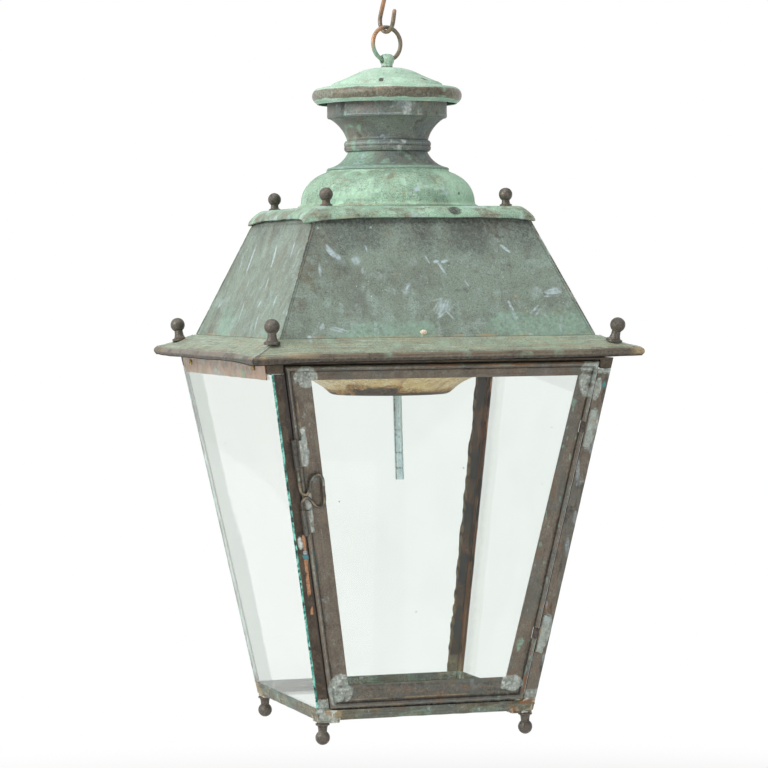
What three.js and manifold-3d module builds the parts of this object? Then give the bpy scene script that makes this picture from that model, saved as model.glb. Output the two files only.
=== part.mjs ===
// A square copper street lantern that tapers to its feet, with a chimney crown, a glazed
// door and a wire door handle. It hangs by a ring from an S-hook.
// Millimetres, +Z up. The door faces -Y. The origin is where the hook hangs: the inside of
// its upper bend. Heights in the lantern itself are counted from the bottoms of its feet.
import * as THREE from 'three';
import { mergeVertices, toCreasedNormals } from 'three/addons/utils/BufferGeometryUtils.js';
import Module from 'manifold-3d';

// Driving dimensions

const SEAT = 0.3; // left between two pieces that rest on each other
const SHEET = 1.2; // spun and folded copper, patina included
const FOLDED = 2.4; // sheet folded double, in the posts and the bottom frame
const GLASS = 2.6;

const BASE_HALF = 126; // half the body's width at the foot pads
const BASE_Z = 24.4;
const TOP_HALF = 198.2; // half the body's width under the eaves
const TOP_Z = 427;
const WALL_HEAD_Z = 42; // top of the bottom frame's wall, where posts and panes stand
const WALL_FOOT_Z = 415; // bottom of the top frame's wall

const EAVE_HALF = 225;
const ROOF_FOOT = { half: 182.4, z: 452.4 };
const ROOF_HEAD = { half: 125.2, z: 585.4 };
const COLLAR_HALF = 131.6;
const COLLAR_Z = 597.5;
const DOME_RADIUS = 100.5;
const NECK_RADIUS = 46.9;
const BAND_RADIUS = 69;
const CAP_RADIUS = 86.2;
const CAP_TOP_Z = 758.8;
const RING_HOLE_Z = 767.6;

const HOOK_WIRE = 5.2;
const HOOK_BEND = 13.5; // radius of each bend's centreline
const HOOK_RISE = 68; // between the centres of the two bends
const HOOK_TIP = 13;
const RING_WIRE = 4.8;
const RING_RADIUS = 19;
const RING_TURN = THREE.MathUtils.degToRad(16.3); // the ring's plane from the lantern's X axis

const BEAD = 2.8; // radius of the rolled edge round the door
const DOOR_DEPTH = 6;
const POST_FACE = 14.5;
const DOOR_GAP = 1.2;
const DOOR_EDGE = POST_FACE + DOOR_GAP; // from the body's corner to the door
const DOOR_BOTTOM_Z = 41.5;
const DOOR_TOP_Z = 423;
const DOOR_HEAD_GAP = 2.2; // the door's top corner rises a little as it swings
const STILE = 27.5;
const TOP_RAIL = 15.5;
const BOTTOM_RAIL = 26.5;
// The strip that the door shuts against: its depth behind the face, and how far it reaches
// in from the body's corner at the jamb
const STOP = { inset: 6.8, thickness: 1.6, reach: 22, overlap: 8 };

const HINGE_HEIGHTS = { upper: 350, lower: 117 };
const HANDLE_Z = 281;
const HANDLE_WIRE = 2.6;

const TUBE_RADIUS = 5;
const TUBE_END_Z = 285;
const TUBE_TOP_Z = 442;
const TUBE_X = 7.9; // where the tube passes the cross bar
const TUBE_LEAN = THREE.MathUtils.degToRad(1.25);

const ROUND = 28; // facets round the chimney pieces
const SMALL_ROUND = 12;

// Slope of the body's four faces

const TAPER = (TOP_HALF - BASE_HALF) / (TOP_Z - BASE_Z);
const FACE_TILT = Math.atan(TAPER);
const EDGE_TILT = Math.atan(Math.sin(FACE_TILT)); // a corner edge, seen square to its face

const bodyHalf = (z) => BASE_HALF + (z - BASE_Z) * TAPER;
const alongFace = (z) => (z - BASE_Z) / Math.cos(FACE_TILT);
const faceHalf = (v) => BASE_HALF + v * Math.sin(FACE_TILT);

const HANG_TO_LOW_BEND = HOOK_RISE + 2 * HOOK_BEND - HOOK_WIRE / 2;
const RING_TOP_Z = -HANG_TO_LOW_BEND + (HOOK_WIRE + RING_WIRE) / 2 + SEAT;
const LANTERN_Z = RING_TOP_Z - 2 * RING_RADIUS - RING_HOLE_Z;

// Solids

const wasm = await Module();
wasm.setup();

function signedVolume(position, index) {
  const [a, b, c] = [new THREE.Vector3(), new THREE.Vector3(), new THREE.Vector3()];
  let volume = 0;
  for (let i = 0; i < index.length; i += 3) {
    a.fromArray(position, 3 * index[i]);
    b.fromArray(position, 3 * index[i + 1]);
    c.fromArray(position, 3 * index[i + 2]);
    volume += a.dot(b.cross(c)) / 6;
  }
  return volume;
}

// Welds a geometry by position, drops slivers on an axis and turns its faces outwards.
function closed(geometry) {
  const bare = new THREE.BufferGeometry();
  bare.setAttribute('position', geometry.attributes.position.clone());
  bare.setIndex(geometry.index);
  const welded = mergeVertices(bare, 1e-4);
  const position = welded.attributes.position.array;
  const corners = welded.index.array;
  const index = [];
  for (let i = 0; i < corners.length; i += 3) {
    const [a, b, c] = corners.slice(i, i + 3);
    if (a !== b && b !== c && c !== a) index.push(a, b, c);
  }
  if (signedVolume(position, index) < 0) index.reverse();
  welded.setIndex(index);
  return welded;
}

function manifoldOf(geometry) {
  const solid = closed(geometry);
  return new wasm.Manifold(new wasm.Mesh({
    numProp: 3,
    vertProperties: solid.attributes.position.array,
    triVerts: Uint32Array.from(solid.index.array),
  }));
}

function geometryOf(manifold) {
  const mesh = manifold.getMesh();
  const geometry = new THREE.BufferGeometry();
  geometry.setAttribute('position', new THREE.BufferAttribute(mesh.vertProperties, 3));
  geometry.setIndex([...mesh.triVerts]);
  return geometry;
}

function cut(geometry, ...tools) {
  return geometryOf(tools.reduce((left, tool) => left.subtract(manifoldOf(tool)), manifoldOf(geometry)));
}

function join(...geometries) {
  return geometryOf(geometries.map(manifoldOf).reduce((whole, piece) => whole.add(piece)));
}

function boxAt(x0, x1, y0, y1, z0, z1) {
  const box = new THREE.BoxGeometry(x1 - x0, y1 - y0, z1 - z0);
  return box.translate((x0 + x1) / 2, (y0 + y1) / 2, (z0 + z1) / 2);
}

function facesFromLoops(points, triangles) {
  const geometry = new THREE.BufferGeometry();
  geometry.setAttribute('position', new THREE.Float32BufferAttribute(points.flat(), 3));
  geometry.setIndex(triangles);
  return closed(geometry);
}

// Two matching rings of points, closed at both ends by the triangulated outline.
function loft(lower, upper, outline) {
  const count = lower.length;
  const triangles = [];
  for (let i = 0; i < count; i++) {
    const j = (i + 1) % count;
    triangles.push(i, j, count + j, i, count + j, count + i);
  }
  for (const [a, b, c] of THREE.ShapeUtils.triangulateShape(outline, [])) {
    triangles.push(c, b, a, count + a, count + b, count + c);
  }
  return facesFromLoops([...lower, ...upper], triangles);
}

// Outlines

// The outline of a sheet: the line drawn is one surface, the other lies at its left hand.
function sheetOutline(line, thickness = SHEET) {
  const normals = line.map((point, i) => {
    const before = line[Math.max(i - 1, 0)];
    const after = line[Math.min(i + 1, line.length - 1)];
    const into = i > 0 ? point.clone().sub(before).normalize() : null;
    const out = i < line.length - 1 ? after.clone().sub(point).normalize() : null;
    const along = into && out ? into.clone().add(out).normalize() : into ?? out;
    const stretch = into && out ? 1 / Math.max(along.dot(into), 0.5) : 1;
    return new THREE.Vector2(-along.y, along.x).multiplyScalar(thickness * stretch);
  });
  const other = line.map((point, i) => point.clone().add(normals[i]));
  return [...line, ...other.reverse()];
}

function linePoints(path, divisions) {
  const points = path.getPoints(divisions);
  return points.filter((point, i) => i === 0 || point.distanceTo(points[i - 1]) > 0.05);
}

// Turned and spun pieces: radius and height, closed on itself or ending on the axis.
function turned(outline, facets = ROUND) {
  const loop = outline.at(-1).distanceTo(outline[0]) > 1e-6 && outline[0].x > 0
    ? [...outline, outline[0]] : outline;
  return closed(new THREE.LatheGeometry(loop, facets).rotateX(Math.PI / 2));
}

function spunSheet(path, divisions, facets = ROUND) {
  return turned(sheetOutline(linePoints(path, divisions)), facets);
}

// A square ring with mitred corners: half-width and height.
function squareTurned(outline) {
  const corners = outline.map((point) => new THREE.Vector2(point.x * Math.SQRT2, point.y));
  const ring = [...corners, corners[0]];
  return closed(new THREE.LatheGeometry(ring, 4, Math.PI / 4).rotateX(Math.PI / 2));
}

const points = (...pairs) => pairs.map(([x, y]) => new THREE.Vector2(x, y));

// One of the four lengths of a square frame, mitred at both ends.
function mitredLength(outline) {
  const pull = SEAT / Math.SQRT2;
  const end = (side) => outline.map((p) => [side * (p.x - pull), -p.x, p.y]);
  return loft(end(-1), end(1), outline);
}

function tubeAlong(curve, diameter, sides, steps) {
  const section = new THREE.Shape().absarc(0, 0, diameter / 2, 0, 2 * Math.PI);
  return new THREE.ExtrudeGeometry(section, {
    extrudePath: curve, steps, curveSegments: sides / 2, bevelEnabled: false,
  });
}

function pipe(outer, inner, length, facets = SMALL_ROUND) {
  const outline = points([inner, 0], [outer, 0], [outer, length], [inner, length]);
  return turned(outline, facets);
}

// Pieces and places

const COLORS = {
  verdigris: [0x9cc4ab, 0.85, 0.2],
  greyPatina: [0x6f776c, 0.75, 0.4],
  brownPatina: [0x6b6159, 0.6, 0.5],
  brightCopper: [0xa9785c, 0.35, 0.9],
  brass: [0xb08d45, 0.35, 0.9],
  iron: [0x5f5b54, 0.6, 0.6],
  zinc: [0x8a97a0, 0.35, 0.9],
  enamel: [0xd9c9a4, 0.3, 0],
};

function metal([color, roughness, metalness]) {
  return new THREE.MeshStandardMaterial({ color, roughness, metalness });
}

function clearGlass() {
  return new THREE.MeshStandardMaterial({
    color: 0xdfeee8, roughness: 0.05, metalness: 0, transparent: true, opacity: 0.3,
  });
}

function piece(name, geometry, material) {
  const mesh = new THREE.Mesh(toCreasedNormals(closed(geometry), Math.PI / 5), material);
  mesh.name = name;
  return mesh;
}

const CORNERS = {
  front_left: { x: -1, y: -1 },
  front_right: { x: 1, y: -1 },
  back_right: { x: 1, y: 1 },
  back_left: { x: -1, y: 1 },
};
const SIDES = ['front', 'right', 'back', 'left'];

// A side's own frame: X along it to the right as seen from outside, Y up its slope from the
// foot pads, Z outwards.
function sideFrame(side) {
  const turn = new THREE.Group();
  turn.rotation.z = SIDES.indexOf(side) * Math.PI / 2;
  const tilt = new THREE.Group();
  tilt.position.set(0, -BASE_HALF, BASE_Z);
  tilt.rotation.x = Math.PI / 2 + FACE_TILT;
  turn.add(tilt);
  return { turn, tilt };
}

// A frame on the front side whose Y axis runs along one of the door's slanting edges.
function doorEdgeFrame(side, z, inset, outwards) {
  const v = alongFace(z);
  const frame = new THREE.Group();
  frame.position.set(side * (faceHalf(v) - inset), v, outwards);
  frame.rotation.z = -side * EDGE_TILT;
  return frame;
}

// Suspension

// Half of the S: from the middle of the stem round the lower bend to its tip.
function halfHook() {
  const lean = Math.asin(HOOK_BEND / (HOOK_RISE / 2));
  const sweep = Math.PI - THREE.MathUtils.degToRad(15) + lean;
  const bend = [];
  for (let i = 0; i <= 14; i++) {
    const angle = lean - sweep * i / 14;
    bend.push([HOOK_BEND * Math.cos(angle), HOOK_BEND * Math.sin(angle)]);
  }
  const end = lean - sweep;
  const tip = [
    HOOK_BEND * Math.cos(end) + HOOK_TIP * Math.sin(end),
    HOOK_BEND * Math.sin(end) - HOOK_TIP * Math.cos(end),
  ];
  return [...bend, tip];
}

function hookCurve() {
  const lowCentre = -HANG_TO_LOW_BEND + HOOK_BEND;
  const low = halfHook().map(([y, z]) => new THREE.Vector3(0, y, z + lowCentre));
  const middle = lowCentre + HOOK_RISE / 2;
  const high = low.map((p) => new THREE.Vector3(0, -p.y, 2 * middle - p.z));
  const stem = new THREE.Vector3(0, 0, middle);
  return new THREE.CatmullRomCurve3([...low.reverse(), stem, ...high], false, 'centripetal');
}

function suspension() {
  const group = new THREE.Group();
  group.rotation.z = RING_TURN;
  const wire = tubeAlong(hookCurve(), HOOK_WIRE, 8, 44);
  group.add(piece('suspension_hook', wire, metal(COLORS.brightCopper)));
  const torus = new THREE.TorusGeometry(RING_RADIUS, RING_WIRE / 2, 8, ROUND);
  const ring = piece('suspension_ring', torus.rotateX(Math.PI / 2), metal(COLORS.brownPatina));
  ring.position.z = RING_TOP_Z - RING_RADIUS;
  group.add(ring);
  return group;
}

// The knob's cross hole widens towards both mouths, so the curved ring can swing in it.
function ringHole() {
  const reach = 10;
  const wall = [];
  for (let s = -reach; s <= reach; s += 2) {
    wall.push(new THREE.Vector2(RING_WIRE / 2 + 0.4 + s * s / 30, s));
  }
  return turned([new THREE.Vector2(0, -reach), ...wall, new THREE.Vector2(0, reach)], 10)
    .rotateY(Math.PI / 2);
}

function ringBoss() {
  const outline = new THREE.Path()
    .moveTo(0, -24)
    .lineTo(4, -24)
    .lineTo(4, -8.5)
    .lineTo(7, -8.5)
    .quadraticCurveTo(6, -6, 6.8, -4.5)
    .quadraticCurveTo(10, 0.5, 6.8, 5.6)
    .quadraticCurveTo(5, 7.4, 0, 7.4);
  const knob = turned(linePoints(outline, 3), 18);
  const boss = piece('ring_boss', cut(knob, ringHole()), metal(COLORS.verdigris));
  boss.position.z = RING_HOLE_Z;
  boss.rotation.z = RING_TURN;
  return boss;
}

// Crown

function chimneyCap() {
  const rim = { x: 76.7, z: 726.5, radius: CAP_RADIUS - 76.7 };
  const line = new THREE.Path()
    .moveTo(80.2, 717)
    .absarc(rim.x, rim.z, rim.radius, -Math.PI / 3, Math.PI / 2)
    .lineTo(64.5, 738.6)
    .lineTo(63.2, 740.6)
    .quadraticCurveTo(46, 747.6, 36, 752.6)
    .quadraticCurveTo(24, 758.4, 12, CAP_TOP_Z)
    .lineTo(4.5, CAP_TOP_Z);
  return spunSheet(line, 3);
}

// A three-legged bracket inside the cap: its legs stand on the throat, its hub carries the knob.
function capSpider() {
  const hub = turned(points([0, 753.6], [13, 753.6], [13, 757], [0, 757]), 24);
  const foot = { z: 724 + SEAT, inner: 63, outer: BAND_RADIUS + 1.5 };
  const leg = new THREE.Shape(points(
    [4, 754], [14, 754], [foot.inner, foot.z], [foot.outer, foot.z], [foot.outer, foot.z + 3.1],
    [13, 756.8], [4, 756.8],
  ));
  const width = 9;
  const legs = [0, 1, 2].map((i) => new THREE.ExtrudeGeometry(leg, { depth: width, bevelEnabled: false })
    .translate(0, 0, -width / 2)
    .rotateX(Math.PI / 2)
    .rotateZ(Math.PI / 6 + i * 2 * Math.PI / 3));
  const hole = new THREE.CylinderGeometry(4.4, 4.4, 12, SMALL_ROUND)
    .rotateX(Math.PI / 2)
    .translate(0, 0, 755);
  return cut(join(hub, ...legs), hole);
}

function hexNut(across, bore, height) {
  const outline = new THREE.Shape();
  for (let i = 0; i < 6; i++) {
    const angle = i * Math.PI / 3;
    const radius = across / Math.sqrt(3);
    outline[i ? 'lineTo' : 'moveTo'](radius * Math.cos(angle), radius * Math.sin(angle));
  }
  outline.holes.push(new THREE.Path().absarc(0, 0, bore / 2, 0, 2 * Math.PI));
  return new THREE.ExtrudeGeometry(outline, { depth: height, bevelEnabled: false, curveSegments: 8 });
}

function chimneyThroat() {
  const line = new THREE.Path()
    .moveTo(NECK_RADIUS, 675.3)
    .bezierCurveTo(NECK_RADIUS + 2.5, 686, 57, 695, 65.4, 700.2)
    .lineTo(BAND_RADIUS - 0.6, 701)
    .lineTo(BAND_RADIUS, 702)
    .lineTo(BAND_RADIUS, 724);
  return spunSheet(line, 4);
}

function neckRing() {
  const outline = new THREE.Path()
    .moveTo(44.5, 662.6)
    .lineTo(48.6, 662.6)
    .quadraticCurveTo(50.4, 664.6, 50.2, 668.8)
    .quadraticCurveTo(50.4, 673, 48.6, 675)
    .lineTo(44.5, 675);
  return turned(linePoints(outline, 2));
}

function crownDome() {
  const swell = { r: 55, z: 604 };
  const line = new THREE.Path()
    .moveTo(DOME_RADIUS + 4, COLLAR_Z + SEAT)
    .lineTo(DOME_RADIUS + 4, 600)
    .quadraticCurveTo(DOME_RADIUS + 0.6, 600.6, DOME_RADIUS, swell.z)
    .absellipse(swell.r, swell.z, DOME_RADIUS - swell.r, 37.6, 0.1, 1.2)
    .lineTo(70.6, 641.4);
  return spunSheet(line, 3);
}

// The flare that carries the neck ring, soldered to the dome's top edge.
function domeFlare() {
  const line = new THREE.Path()
    .moveTo(70.2, 642.3)
    .lineTo(69, 643.6)
    .bezierCurveTo(58, 646, 50, 653, 46, 662.3);
  return spunSheet(line, 4);
}

// The square plate that the dome stands on, with a lip turned down over the roof.
function collarPlate() {
  const lip = { half: COLLAR_HALF, z: 584 };
  const line = points([60, COLLAR_Z], [116.5, COLLAR_Z], [124.5, 593.2], [130.6, 588], [lip.half, lip.z]);
  const plate = squareTurned(sheetOutline(line.reverse(), SHEET + 0.4));
  const opening = DOME_RADIUS - 4.5;
  const hole = new THREE.CylinderGeometry(opening, opening, 60, ROUND).rotateX(Math.PI / 2);
  return cut(plate, hole.translate(0, 0, COLLAR_Z));
}

// Finials and feet: a ball on a waisted neck with a flange. Height counts from the flange.
function ballFinial({ ball, height, neck, flange }, root = 0) {
  const meets = Math.asin(neck / ball);
  const outline = new THREE.Path()
    .moveTo(0, -root)
    .lineTo(flange, -root)
    .lineTo(flange, 1.8)
    .quadraticCurveTo(neck, 3, neck, height - ball * Math.cos(meets))
    .absarc(0, height, ball, meets - Math.PI / 2, Math.PI / 2);
  return turned(linePoints(outline, 3), SMALL_ROUND);
}

const COLLAR_FINIAL = { half: 105.8, shape: { ball: 7.7, height: 12.8, neck: 4.3, flange: 6.9 } };
const EAVE_FINIAL = { ball: 8.5, height: 17.4, neck: 4.9, flange: 9.2 };
// Each eave finial stands a little differently on its hip and leans outwards, in degrees
const EAVE_PLACES = {
  front_left: { half: 194.5, lean: 0 },
  front_right: { half: 199, lean: 14 },
  back_right: { half: 199, lean: 4 },
  back_left: { half: 199, lean: 9 },
};
const FOOT = { half: 119.6, shape: { ball: 8.2, height: 15.9, neck: 4.9, flange: 8 } };

function collarFinial(corner) {
  const { x, y } = CORNERS[corner];
  const { half, shape } = COLLAR_FINIAL;
  const finial = piece(`collar_finial_${corner}`, ballFinial(shape), metal(COLORS.iron));
  finial.position.set(x * half, y * half, COLLAR_Z + SEAT);
  return finial;
}

// The eave finials stand on the hips of the eaves, so their flanges are cut to that saddle.
function eaveFinial(corner) {
  const { x, y } = CORNERS[corner];
  const { half, lean } = EAVE_PLACES[corner];
  const across = new THREE.Vector3(-y, x, 0).normalize();
  const leaning = new THREE.Quaternion().setFromAxisAngle(across, THREE.MathUtils.degToRad(lean));
  const [, high, low] = eaveTop();
  const z = high.y + (low.y - high.y) * (half - high.x) / (low.x - high.x) + 1.3;
  const blank = ballFinial(EAVE_FINIAL, 14).applyQuaternion(leaning).translate(x * half, y * half, z);
  const saddle = squareTurned([
    ...points([1, 400], [EAVE_HALF, 400]),
    ...[...eaveTop()].reverse().map((p) => new THREE.Vector2(p.x, p.y + SEAT)),
    ...points([1, eaveTop()[0].y + SEAT]),
  ]);
  return piece(`eave_finial_${corner}`, cut(blank, saddle), metal(COLORS.iron));
}

function ballFoot(corner) {
  const { x, y } = CORNERS[corner];
  const foot = piece(`ball_foot_${corner}`, ballFinial(FOOT.shape).rotateX(Math.PI), metal(COLORS.iron));
  foot.position.set(x * FOOT.half, y * FOOT.half, BASE_Z - SEAT);
  return foot;
}

// Roof

function roofPanel() {
  const slope = (ROOF_FOOT.half - ROOF_HEAD.half) / (ROOF_HEAD.z - ROOF_FOOT.z);
  const thickness = SHEET * Math.hypot(1, slope);
  return mitredLength(points(
    [ROOF_FOOT.half, ROOF_FOOT.z],
    [ROOF_HEAD.half, ROOF_HEAD.z],
    [ROOF_HEAD.half - thickness, ROOF_HEAD.z],
    [ROOF_FOOT.half - thickness, ROOF_FOOT.z],
  ));
}

const eaveTop = () => points([178.5, 452.1], [184.6, 452.1], [203, 443.2], [218.4, 437.2]);

// The eaves: a shallow slope, a rolled nose and a soffit back to the top frame.
function eaveLength() {
  const nose = { x: 220.2, z: 432.4, radius: EAVE_HALF - 220.2 };
  const line = new THREE.Path()
    .moveTo(195, nose.z - nose.radius)
    .lineTo(nose.x, nose.z - nose.radius)
    .absarc(nose.x, nose.z, nose.radius, -Math.PI / 2, Math.PI / 2.6);
  for (const p of eaveTop().reverse()) line.lineTo(p.x, p.y);
  return mitredLength(sheetOutline(linePoints(line, 4)));
}

// Body frame

// A strip behind the door's head or foot that it shuts against, from one height to another.
// On the right it ends short of the hinges.
function doorStop(low, high, leftReach) {
  const ring = (z) => {
    const [left, right] = [leftReach - bodyHalf(z), bodyHalf(z) - STOP.reach - 1];
    const front = STOP.inset - bodyHalf(z);
    const back = front + STOP.thickness;
    return [[left, front, z], [right, front, z], [right, back, z], [left, back, z]];
  };
  return loft(ring(low), ring(high), points([0, 0], [1, 0], [1, 1], [0, 1]));
}

// The square frame at the head of the posts: outer wall, ledge and the upstand that
// carries the eaves. Its wall is cut away over the door, with a stop behind, and drilled for
// the strip's screws.
function topFrame() {
  const wallFoot = WALL_FOOT_Z;
  const ledge = TOP_Z - 1.6;
  const ring = squareTurned(points(
    [bodyHalf(wallFoot), wallFoot], [TOP_HALF, TOP_Z], [178, TOP_Z], [178, 450.2], [176, 450.2],
    [176, TOP_Z], [165, TOP_Z], [165, ledge], [bodyHalf(ledge) - FOLDED, ledge],
    [bodyHalf(wallFoot) - FOLDED, wallFoot],
  ));
  const doorHead = bodyHalf(DOOR_TOP_Z) - POST_FACE;
  const notch = boxAt(-doorHead, doorHead, -210, -185, 400, DOOR_TOP_Z + DOOR_HEAD_GAP);
  const holes = STRIP_SCREWS_Y.map((y) => new THREE.CylinderGeometry(1.9, 1.9, 30, 12)
    .rotateZ(Math.PI / 2)
    .translate(-TOP_HALF, y, STRIP_SCREW_Z));
  return join(cut(ring, notch, ...holes), doorStop(wallFoot, ledge + 0.8, 10));
}

// The square frame at the foot: outer wall, ledge for the bottom pane, corner pads and a stop
// behind the door's foot, which is low where the front left post stands over it.
function bottomFrame() {
  const ledge = 28;
  const wallHead = WALL_HEAD_Z;
  const ring = squareTurned(points(
    [bodyHalf(ledge), ledge], [bodyHalf(wallHead), wallHead], [bodyHalf(wallHead) - FOLDED, wallHead],
    [bodyHalf(ledge + 2) - FOLDED, ledge + 2], [106, ledge + 2], [106, ledge],
  ));
  const doorFoot = bodyHalf(DOOR_BOTTOM_Z) - POST_FACE;
  const notch = boxAt(-doorFoot, doorFoot, -135, -110, DOOR_BOTTOM_Z - 2.1, 60);
  const pad = 25;
  const padCentre = BASE_HALF - pad / 2;
  const pads = Object.values(CORNERS).map(({ x, y }) => (
    boxAt(-pad / 2, pad / 2, -pad / 2, pad / 2, BASE_Z, ledge + 1)
      .translate(x * padCentre, y * padCentre, 0)
  ));
  const stops = [
    doorStop(ledge + 1, wallHead, 10),
    doorStop(ledge + 1, DOOR_BOTTOM_Z + STOP.overlap, STOP.reach + 1),
  ];
  return join(cut(ring, notch), ...pads, ...stops);
}

// A post's section, from the body's corner: X inwards along one face, Y along the other.
const ANGLE = [
  [0, 0], [POST_FACE, 0], [POST_FACE, FOLDED], [FOLDED, FOLDED], [FOLDED, POST_FACE], [0, POST_FACE],
];
const POST_SECTIONS = {
  // Front flange, jamb and the stop that the door shuts against; the left pane passes outside it
  front_left: [
    [3, 0], [POST_FACE, 0], [POST_FACE, STOP.inset], [STOP.reach, STOP.inset],
    [STOP.reach, STOP.inset + STOP.thickness], [POST_FACE - 1.8, STOP.inset + STOP.thickness],
    [POST_FACE - 1.8, FOLDED], [3, FOLDED],
  ],
  front_right: ANGLE,
  back_right: ANGLE,
  // A slim angle: the left pane hides it but for its edge
  back_left: [[3, 0], [7.5, 0], [7.5, 1.2], [4.2, 1.2], [4.2, 7], [3, 7]],
};

function cornerPost(corner) {
  const { x, y } = CORNERS[corner];
  const section = POST_SECTIONS[corner];
  const ring = (z) => section.map(([dx, dy]) => [x * (bodyHalf(z) - dx), y * (bodyHalf(z) - dy), z]);
  const outline = section.map(([dx, dy]) => new THREE.Vector2(dx, dy));
  const post = loft(ring(WALL_HEAD_Z + SEAT), ring(WALL_FOOT_Z - SEAT), outline);
  return piece(`corner_post_${corner}`, post, metal(COLORS.brownPatina));
}

// Glazing

// A pane in a side's own frame: it tapers with the body, less a margin at each end.
function facePane(leftMargin, rightMargin, zFoot, zHead, back) {
  const corners = [
    [-1, leftMargin, zFoot], [1, rightMargin, zFoot], [1, rightMargin, zHead], [-1, leftMargin, zHead],
  ];
  const outline = corners.map(([side, margin, z]) => {
    const v = alongFace(z);
    return new THREE.Vector2(side * (faceHalf(v) - margin), v);
  });
  return new THREE.ExtrudeGeometry(new THREE.Shape(outline), { depth: GLASS, bevelEnabled: false })
    .translate(0, 0, back);
}

const INNER_GLASS = -(FOLDED + 0.4 + GLASS);
const INNER_MARGIN = 6.6;

function sidePane(side) {
  const frame = sideFrame(side);
  const wallFoot = WALL_FOOT_Z - SEAT - GLASS * Math.sin(FACE_TILT);
  const geometry = side === 'left'
    ? facePane(0.3, 0.2, WALL_HEAD_Z + SEAT, wallFoot, -GLASS)
    : facePane(INNER_MARGIN, INNER_MARGIN, 33.6, 423.4, INNER_GLASS);
  frame.tilt.add(piece(`${side}_pane`, geometry, clearGlass()));
  return frame.turn;
}

function bottomPane() {
  const half = 118.4;
  const foot = 30 + SEAT;
  return piece('bottom_pane', boxAt(-half, half, -half, half, foot, foot + GLASS), clearGlass());
}

// The strip that holds the left pane in at its head, with two brass screws
const STRIP_SCREWS_Y = [-134, 146];
const STRIP_SCREW_Z = 421;

function paneStrip() {
  const { turn, tilt } = sideFrame('left');
  const [low, high] = [alongFace(408.6), alongFace(426.4)];
  const [back, front] = [-186, 180];
  const outline = new THREE.Shape(points([back + 3, low], [front - 3, low], [front, high], [back, high]));
  for (const y of STRIP_SCREWS_Y) {
    outline.holes.push(new THREE.Path().absarc(-y, alongFace(STRIP_SCREW_Z), 1.9, 0, 2 * Math.PI));
    const profile = points(
      [0, -2.2], [1.5, -2.2], [1.5, 1.7], [3.4, 1.7], [3.2, 2.5], [2, 3.3], [0, 3.6],
    );
    const end = y < 0 ? 'front' : 'back';
    const screw = piece(`strip_screw_${end}`, turned(profile, 8), metal(COLORS.brass));
    screw.position.set(-y, alongFace(STRIP_SCREW_Z), 0);
    tilt.add(screw);
  }
  const strip = new THREE.ExtrudeGeometry(outline, { depth: 1.1, bevelEnabled: false, curveSegments: 6 });
  tilt.add(piece('left_pane_strip', strip.translate(0, 0, SEAT), metal(COLORS.brightCopper)));
  return turn;
}

// Door

// The section of the door's edge: a rolled bead with a skirt behind it, then the flat strip.
// Each point is [share of the strip's width, inwards from the edge, outwards].
function doorSection() {
  const centre = -0.4;
  const at = (angle) => [0, BEAD + BEAD * Math.cos(angle), centre + BEAD * Math.sin(angle)];
  const rise = Math.asin(-centre / BEAD);
  const fall = Math.asin((-SHEET - centre) / BEAD);
  const skirt = -Math.acos((SHEET - BEAD) / BEAD);
  const section = [[0, 0, -DOOR_DEPTH], at(Math.PI)];
  for (let i = 1; i <= 6; i++) section.push(at(Math.PI + (rise - Math.PI) * i / 6));
  section.push([1, 0, 0], [1, 0, -SHEET]);
  for (let i = 0; i <= 3; i++) section.push(at(fall + (skirt - fall) * i / 3));
  section.push([0, SHEET, -DOOR_DEPTH]);
  return section;
}

// The moulding carried round the door's four sides with mitred corners.
function doorRing(section) {
  const [foot, head] = [alongFace(DOOR_BOTTOM_Z), alongFace(DOOR_TOP_Z)];
  const corner = (side, v, share, inwards) => side * (faceHalf(v) - DOOR_EDGE - share * STILE - inwards);
  const loops = [[-1, 0], [1, 0], [1, 1], [-1, 1]].map(([side, top]) => (
    section.map(([share, inwards, out]) => {
      const v = top ? head - share * TOP_RAIL - inwards : foot + share * BOTTOM_RAIL + inwards;
      return [corner(side, v, share, inwards), v, out];
    })
  ));
  const count = section.length;
  const triangles = [];
  for (let k = 0; k < 4; k++) {
    for (let i = 0; i < count; i++) {
      const j = (i + 1) % count;
      const [a, b] = [k * count, ((k + 1) % 4) * count];
      triangles.push(a + i, b + i, b + j, a + i, b + j, a + j);
    }
  }
  return facesFromLoops(loops.flat(), triangles);
}

const HINGE = { bore: 1.6, knuckle: 3, length: 12, pin: 1.3, pinLength: 34, leaf: 42 };
const hingeInset = DOOR_EDGE + BEAD;

// The door's bead is notched for each post loop and bored for the pin.
function doorFrame() {
  const tools = Object.values(HINGE_HEIGHTS).flatMap((z) => {
    const notch = boxAt(-3.5, 3.6, -HINGE.length / 2 - 0.5, HINGE.length / 2 + 0.5, -7, 4);
    const bore = new THREE.CylinderGeometry(HINGE.bore, HINGE.bore, HINGE.pinLength + 2, SMALL_ROUND);
    const frame = doorEdgeFrame(1, z, hingeInset, -0.4);
    frame.updateMatrix();
    return [notch, bore].map((tool) => tool.applyMatrix4(frame.matrix));
  });
  return cut(doorRing(doorSection()), ...tools);
}

function doorPane() {
  const [foot, head] = [alongFace(DOOR_BOTTOM_Z) + 6.4, alongFace(DOOR_TOP_Z) - 6.4];
  const inset = DOOR_EDGE + 6.4;
  const outline = [[-1, foot], [1, foot], [1, head], [-1, head]]
    .map(([side, v]) => new THREE.Vector2(side * (faceHalf(v) - inset), v));
  return new THREE.ExtrudeGeometry(new THREE.Shape(outline), { depth: GLASS, bevelEnabled: false })
    .translate(0, 0, -SHEET - SEAT - GLASS);
}

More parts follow.
